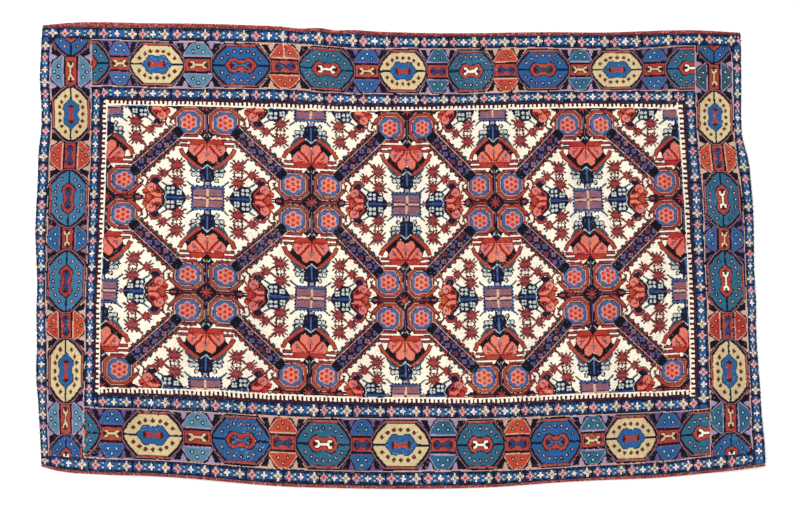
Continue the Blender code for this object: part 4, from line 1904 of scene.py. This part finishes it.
def instance_tree(name: str, material: bpy.types.Material, strand: bool) -> bpy.types.NodeTree:
    """A geometry tree that sets a wrap of yarn, or a loose strand, on every point.

    Args:
        name: The tree's name.
        material: The material of the result.
        strand: Whether each point gets a strand rather than a wrap.

    Returns:
        The tree.
    """
    group = bpy.data.node_groups.new(name, "GeometryNodeTree")
    sockets = (
        ("Points", "INPUT", "Geometry"),
        ("Lean", "INPUT", "Float"),
        ("Unevenness", "INPUT", "Float"),
        ("Seed", "INPUT", "Int"),
        ("Result", "OUTPUT", "Geometry"),
    )
    for label, way, kind in sockets:
        group.interface.new_socket(label, in_out=way, socket_type="NodeSocket" + kind)
    tree = Tree(group)
    given = tree.add("NodeGroupInput", {}).outputs
    run, size = (
        tree.add("GeometryNodeInputNamedAttribute", {"Name": label}, data_type="FLOAT_VECTOR").outputs[0]
        for label in ("run", "size")
    )
    bounds = {2: tree.math("MULTIPLY", given["Lean"], -1.0), 3: given["Lean"], "Seed": given["Seed"]}
    lean = tree.add("FunctionNodeRandomValue", bounds, data_type="FLOAT").outputs[1]
    bounds = {
        2: tree.math("SUBTRACT", 1.0, given["Unevenness"]),
        3: tree.math("ADD", 1.0, given["Unevenness"]),
        "Seed": tree.math("ADD", given["Seed"], 7.0),
    }
    uneven = tree.add("FunctionNodeRandomValue", bounds, data_type="FLOAT").outputs[1]
    if strand:
        shape = tree.add("GeometryNodeMeshCone", {0: 4, 3: 0.45, 4: 1.0, 5: 1.0})
        stretch = {0: uneven, 1: 1.0, 2: 1.0}
    else:
        shape = tree.add("GeometryNodeMeshUVSphere", {0: 10, 1: 5, 2: 1.0})
        stretch = {0: 1.0, 1: uneven, 2: uneven}
    inputs = {0: shape.outputs[0], "Rotation": (0, math.pi / 2, 0)}
    lying = tree.add("GeometryNodeTransform", inputs).outputs[0]
    aimed = tree.add("FunctionNodeAlignRotationToVector", {"Vector": run}, axis="X").outputs[0]
    turn = tree.add("ShaderNodeCombineXYZ", {2: lean}).outputs[0]
    leant = tree.add("FunctionNodeRotateRotation", {0: aimed, 1: turn}, rotation_space="LOCAL").outputs[0]
    scale = tree.vector("MULTIPLY", size, tree.add("ShaderNodeCombineXYZ", stretch).outputs[0])
    inputs = {"Points": given["Points"], "Instance": lying, "Rotation": leant, "Scale": scale}
    placed = tree.add("GeometryNodeInstanceOnPoints", inputs).outputs[0]
    real = tree.add("GeometryNodeRealizeInstances", {0: placed}).outputs[0]
    dressed = tree.add("GeometryNodeSetMaterial", {0: real, "Material": material}).outputs[0]
    tree.add("NodeGroupOutput", {0: dressed})
    return group


@dataclass(frozen=True)
class Selvedge:
    """An overcast long side: wraps of wool round a bundle of warps."""

    name: str
    side: Side
    widths: Edge
    seed: int
    height: float = 0.008
    gap: float = 0.0005
    pitch: float = 0.0034
    overlap: float = 0.72
    lean: float = 0.12
    unevenness: float = 0.04

    def build(self, material: bpy.types.Material) -> bpy.types.Object:
        """Builds the cord of wraps along the side of the pile.

        Args:
            material: The material of the wraps.

        Returns:
            The cord.
        """
        length = np.linalg.norm(np.diff(self.side.path(600), axis=0), axis=1).sum()
        count = int(length / self.pitch)
        path = self.side.path(count)
        away = self.side.outward(path)
        width = self.widths.at(np.linspace(*self.side.edge.ends(), count))
        middle = path + away * (self.gap + width / 2)[:, None]
        rise = WAVES.lift(path[:, 0], path[:, 1]) + self.height / 2
        run = np.column_stack([away[:, 1], -away[:, 0], np.zeros(count)]) * self.side.turn
        thickness = np.full(count, self.pitch * self.overlap)
        size = np.column_stack([thickness, width / 2, np.full(count, self.height / 2)])
        points = np.column_stack([middle, rise])[1:-1]
        item = add_points(self.name, points, {"run": run[1:-1], "size": size[1:-1]})
        tree = instance_tree(self.name + "_wraps", material, False)
        item = settle(item, tree, {"Lean": self.lean, "Unevenness": self.unevenness, "Seed": self.seed})
        item.data.shade_smooth()
        return item


@dataclass(frozen=True)
class WarpEnds:
    """A worn short side: stubs of the undyed warps, with a stray one here and there."""

    name: str
    side: Side
    seed: int
    count: int = 84
    shortest: float = 0.003
    longest: float = 0.011
    width: float = 0.0018
    root: float = 0.001
    rise: float = 0.0011
    lean: float = 0.3
    unevenness: float = 0.15

    def build(self, material: bpy.types.Material) -> bpy.types.Object:
        """Builds the stubs along the side of the pile.

        Args:
            material: The material of the stubs.

        Returns:
            The row of stubs.
        """
        chance = np.random.default_rng(self.seed)
        path = self.side.path(self.count + 2)
        away = self.side.outward(path)[1:-1]
        path = path[1:-1]
        reach = self.shortest + (self.longest - self.shortest) * chance.random(self.count) ** 3
        rise = WAVES.lift(path[:, 0], path[:, 1]) + self.rise
        run = np.column_stack([away, np.zeros(self.count)])
        thickness = np.full(self.count, self.width / 2)
        vectors = {"run": run, "size": np.column_stack([reach, thickness, thickness])}
        item = add_points(self.name, np.column_stack([path + away * self.root, rise]), vectors)
        tree = instance_tree(self.name + "_strands", material, True)
        return settle(item, tree, {"Lean": self.lean, "Unevenness": self.unevenness, "Seed": self.seed})


@dataclass(frozen=True)
class Studio:
    """A pale floor, soft light from all round, a lamp and the camera above the rug."""

    floor_size: float = 30.0
    floor_drop: float = 0.0004
    floor_colour: tuple[float, ...] = (0.9, 0.9, 0.9, 1)
    sky_colour: tuple[float, ...] = (1, 1, 1, 1)
    sky: float = 1.12
    lamp_power: float = 90.0
    lamp_size: float = 3.0
    lamp_place: tuple[float, ...] = (-1.2, 1.4, 3.4)
    lamp_turn: tuple[float, ...] = (math.radians(-22), math.radians(-19), 0)

    def build(self) -> None:
        """Sets up the floor, the light and the camera."""
        self._floor()
        self._sky()
        lamp = bpy.data.lights.new("overhead", "AREA")
        lamp.energy = self.lamp_power
        lamp.size = self.lamp_size
        self._stand(lamp, self.lamp_place, self.lamp_turn)
        view = bpy.data.cameras.new("viewpoint")
        view.lens = LENS.focal
        view.sensor_width = LENS.sensor
        distance = LENS.distance + LENS.pile_rise
        place = (0, -distance * math.sin(LENS.tilt), distance * math.cos(LENS.tilt))
        bpy.context.scene.camera = self._stand(view, place, (LENS.tilt, 0, 0))
        bpy.context.scene.view_settings.view_transform = "Standard"

    def _floor(self) -> None:
        """Lays the floor."""
        bpy.ops.mesh.primitive_plane_add(size=self.floor_size, location=(0, 0, -self.floor_drop))
        floor = bpy.context.object
        floor.name = "floor"
        material = bpy.data.materials.new("pale_floor")
        material.use_nodes = True
        shader = material.node_tree.nodes["Principled BSDF"]
        shader.inputs["Base Color"].default_value = self.floor_colour
        shader.inputs["Roughness"].default_value = 1.0
        shader.inputs["Specular IOR Level"].default_value = 0.0
        floor.data.materials.append(material)

    def _sky(self) -> None:
        """Sets up the light from all round."""
        world = bpy.data.worlds.new("soft_light")
        world.use_nodes = True
        background = world.node_tree.nodes["Background"]
        background.inputs["Color"].default_value = self.sky_colour
        background.inputs["Strength"].default_value = self.sky
        bpy.context.scene.world = world

    def _stand(self, kind: bpy.types.ID, place: Sequence[float], turn: Sequence[float]) -> bpy.types.Object:
        """Stands a lamp or a camera in the scene.

        Args:
            kind: The lamp's or the camera's own settings.
            place: Where it stands, in metres.
            turn: How it is turned from looking straight down.

        Returns:
            Its object.
        """
        item = bpy.data.objects.new(kind.name, kind)
        item.location = place
        item.rotation_euler = turn
        bpy.context.scene.collection.objects.link(item)
        return item


def main() -> None:
    """Builds the rug's pieces, joins them to the frame and sets up the studio."""
    logging.basicConfig(level=logging.INFO, format="%(name)s: %(message)s")
    chart = draw_chart()
    fine, coarse = KnotNet(920, 590), KnotNet(384, 246, block=1, rim=1)
    face = {"rise": PILE_HEIGHT, "rounding": PILE_ROUNDING, "upward": True, "finish": PILE_FINISH}
    field = Pile("field_pile", fine, part=Part.FIELD, **face).build(chart)
    border = Pile("border_pile", fine, part=Part.BORDER, skirt=PILE_SKIRT, **face).build(chart)
    back = Pile("knotted_back", coarse, BACK_RISE, 0.0, False, BACK_FINISH).build(chart)
    reds = (Yarn.MAROON, Yarn.MADDER, Yarn.BRICK, Yarn.ROSE)
    undyed = (Yarn.OLIVE, Yarn.UNDYED, Yarn.IVORY)
    wool = cord_material("overcast_wool", CORD_FINISH, reds, pitch=0.005)
    warp = cord_material("undyed_warp", WARP_FINISH, undyed, pitch=0.01)
    far_side, near_side = Side(FAR_PILE, upright=False, turn=1), Side(NEAR_PILE, upright=False, turn=-1)
    left_side, right_side = Side(LEFT_PILE, upright=True, turn=1), Side(RIGHT_PILE, upright=True, turn=-1)
    far = Selvedge("far_overcasting", far_side, FAR_WIDTHS, seed=3).build(wool)
    near = Selvedge("near_overcasting", near_side, NEAR_WIDTHS, seed=5).build(wool)
    left = WarpEnds("left_stubs", left_side, seed=11).build(warp)
    right = WarpEnds("right_stubs", right_side, seed=17).build(warp)
    places = (
        (field, "pile", "rug_body"),
        (border, "pile", "rug_body"),
        (back, "pile", "rug_body"),
        (far, "selvedge", "far_selvedge"),
        (near, "selvedge", "near_selvedge"),
        (left, "warp", "left_warp_ends"),
        (right, "warp", "right_warp_ends"),
    )
    for piece, slot, node in places:
        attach(piece, "root")
        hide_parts(node)
        LOG.info("%s: %d faces, for %s", piece.name, len(piece.data.polygons), node)
    Studio().build()


if __name__ == "__main__":
    main()
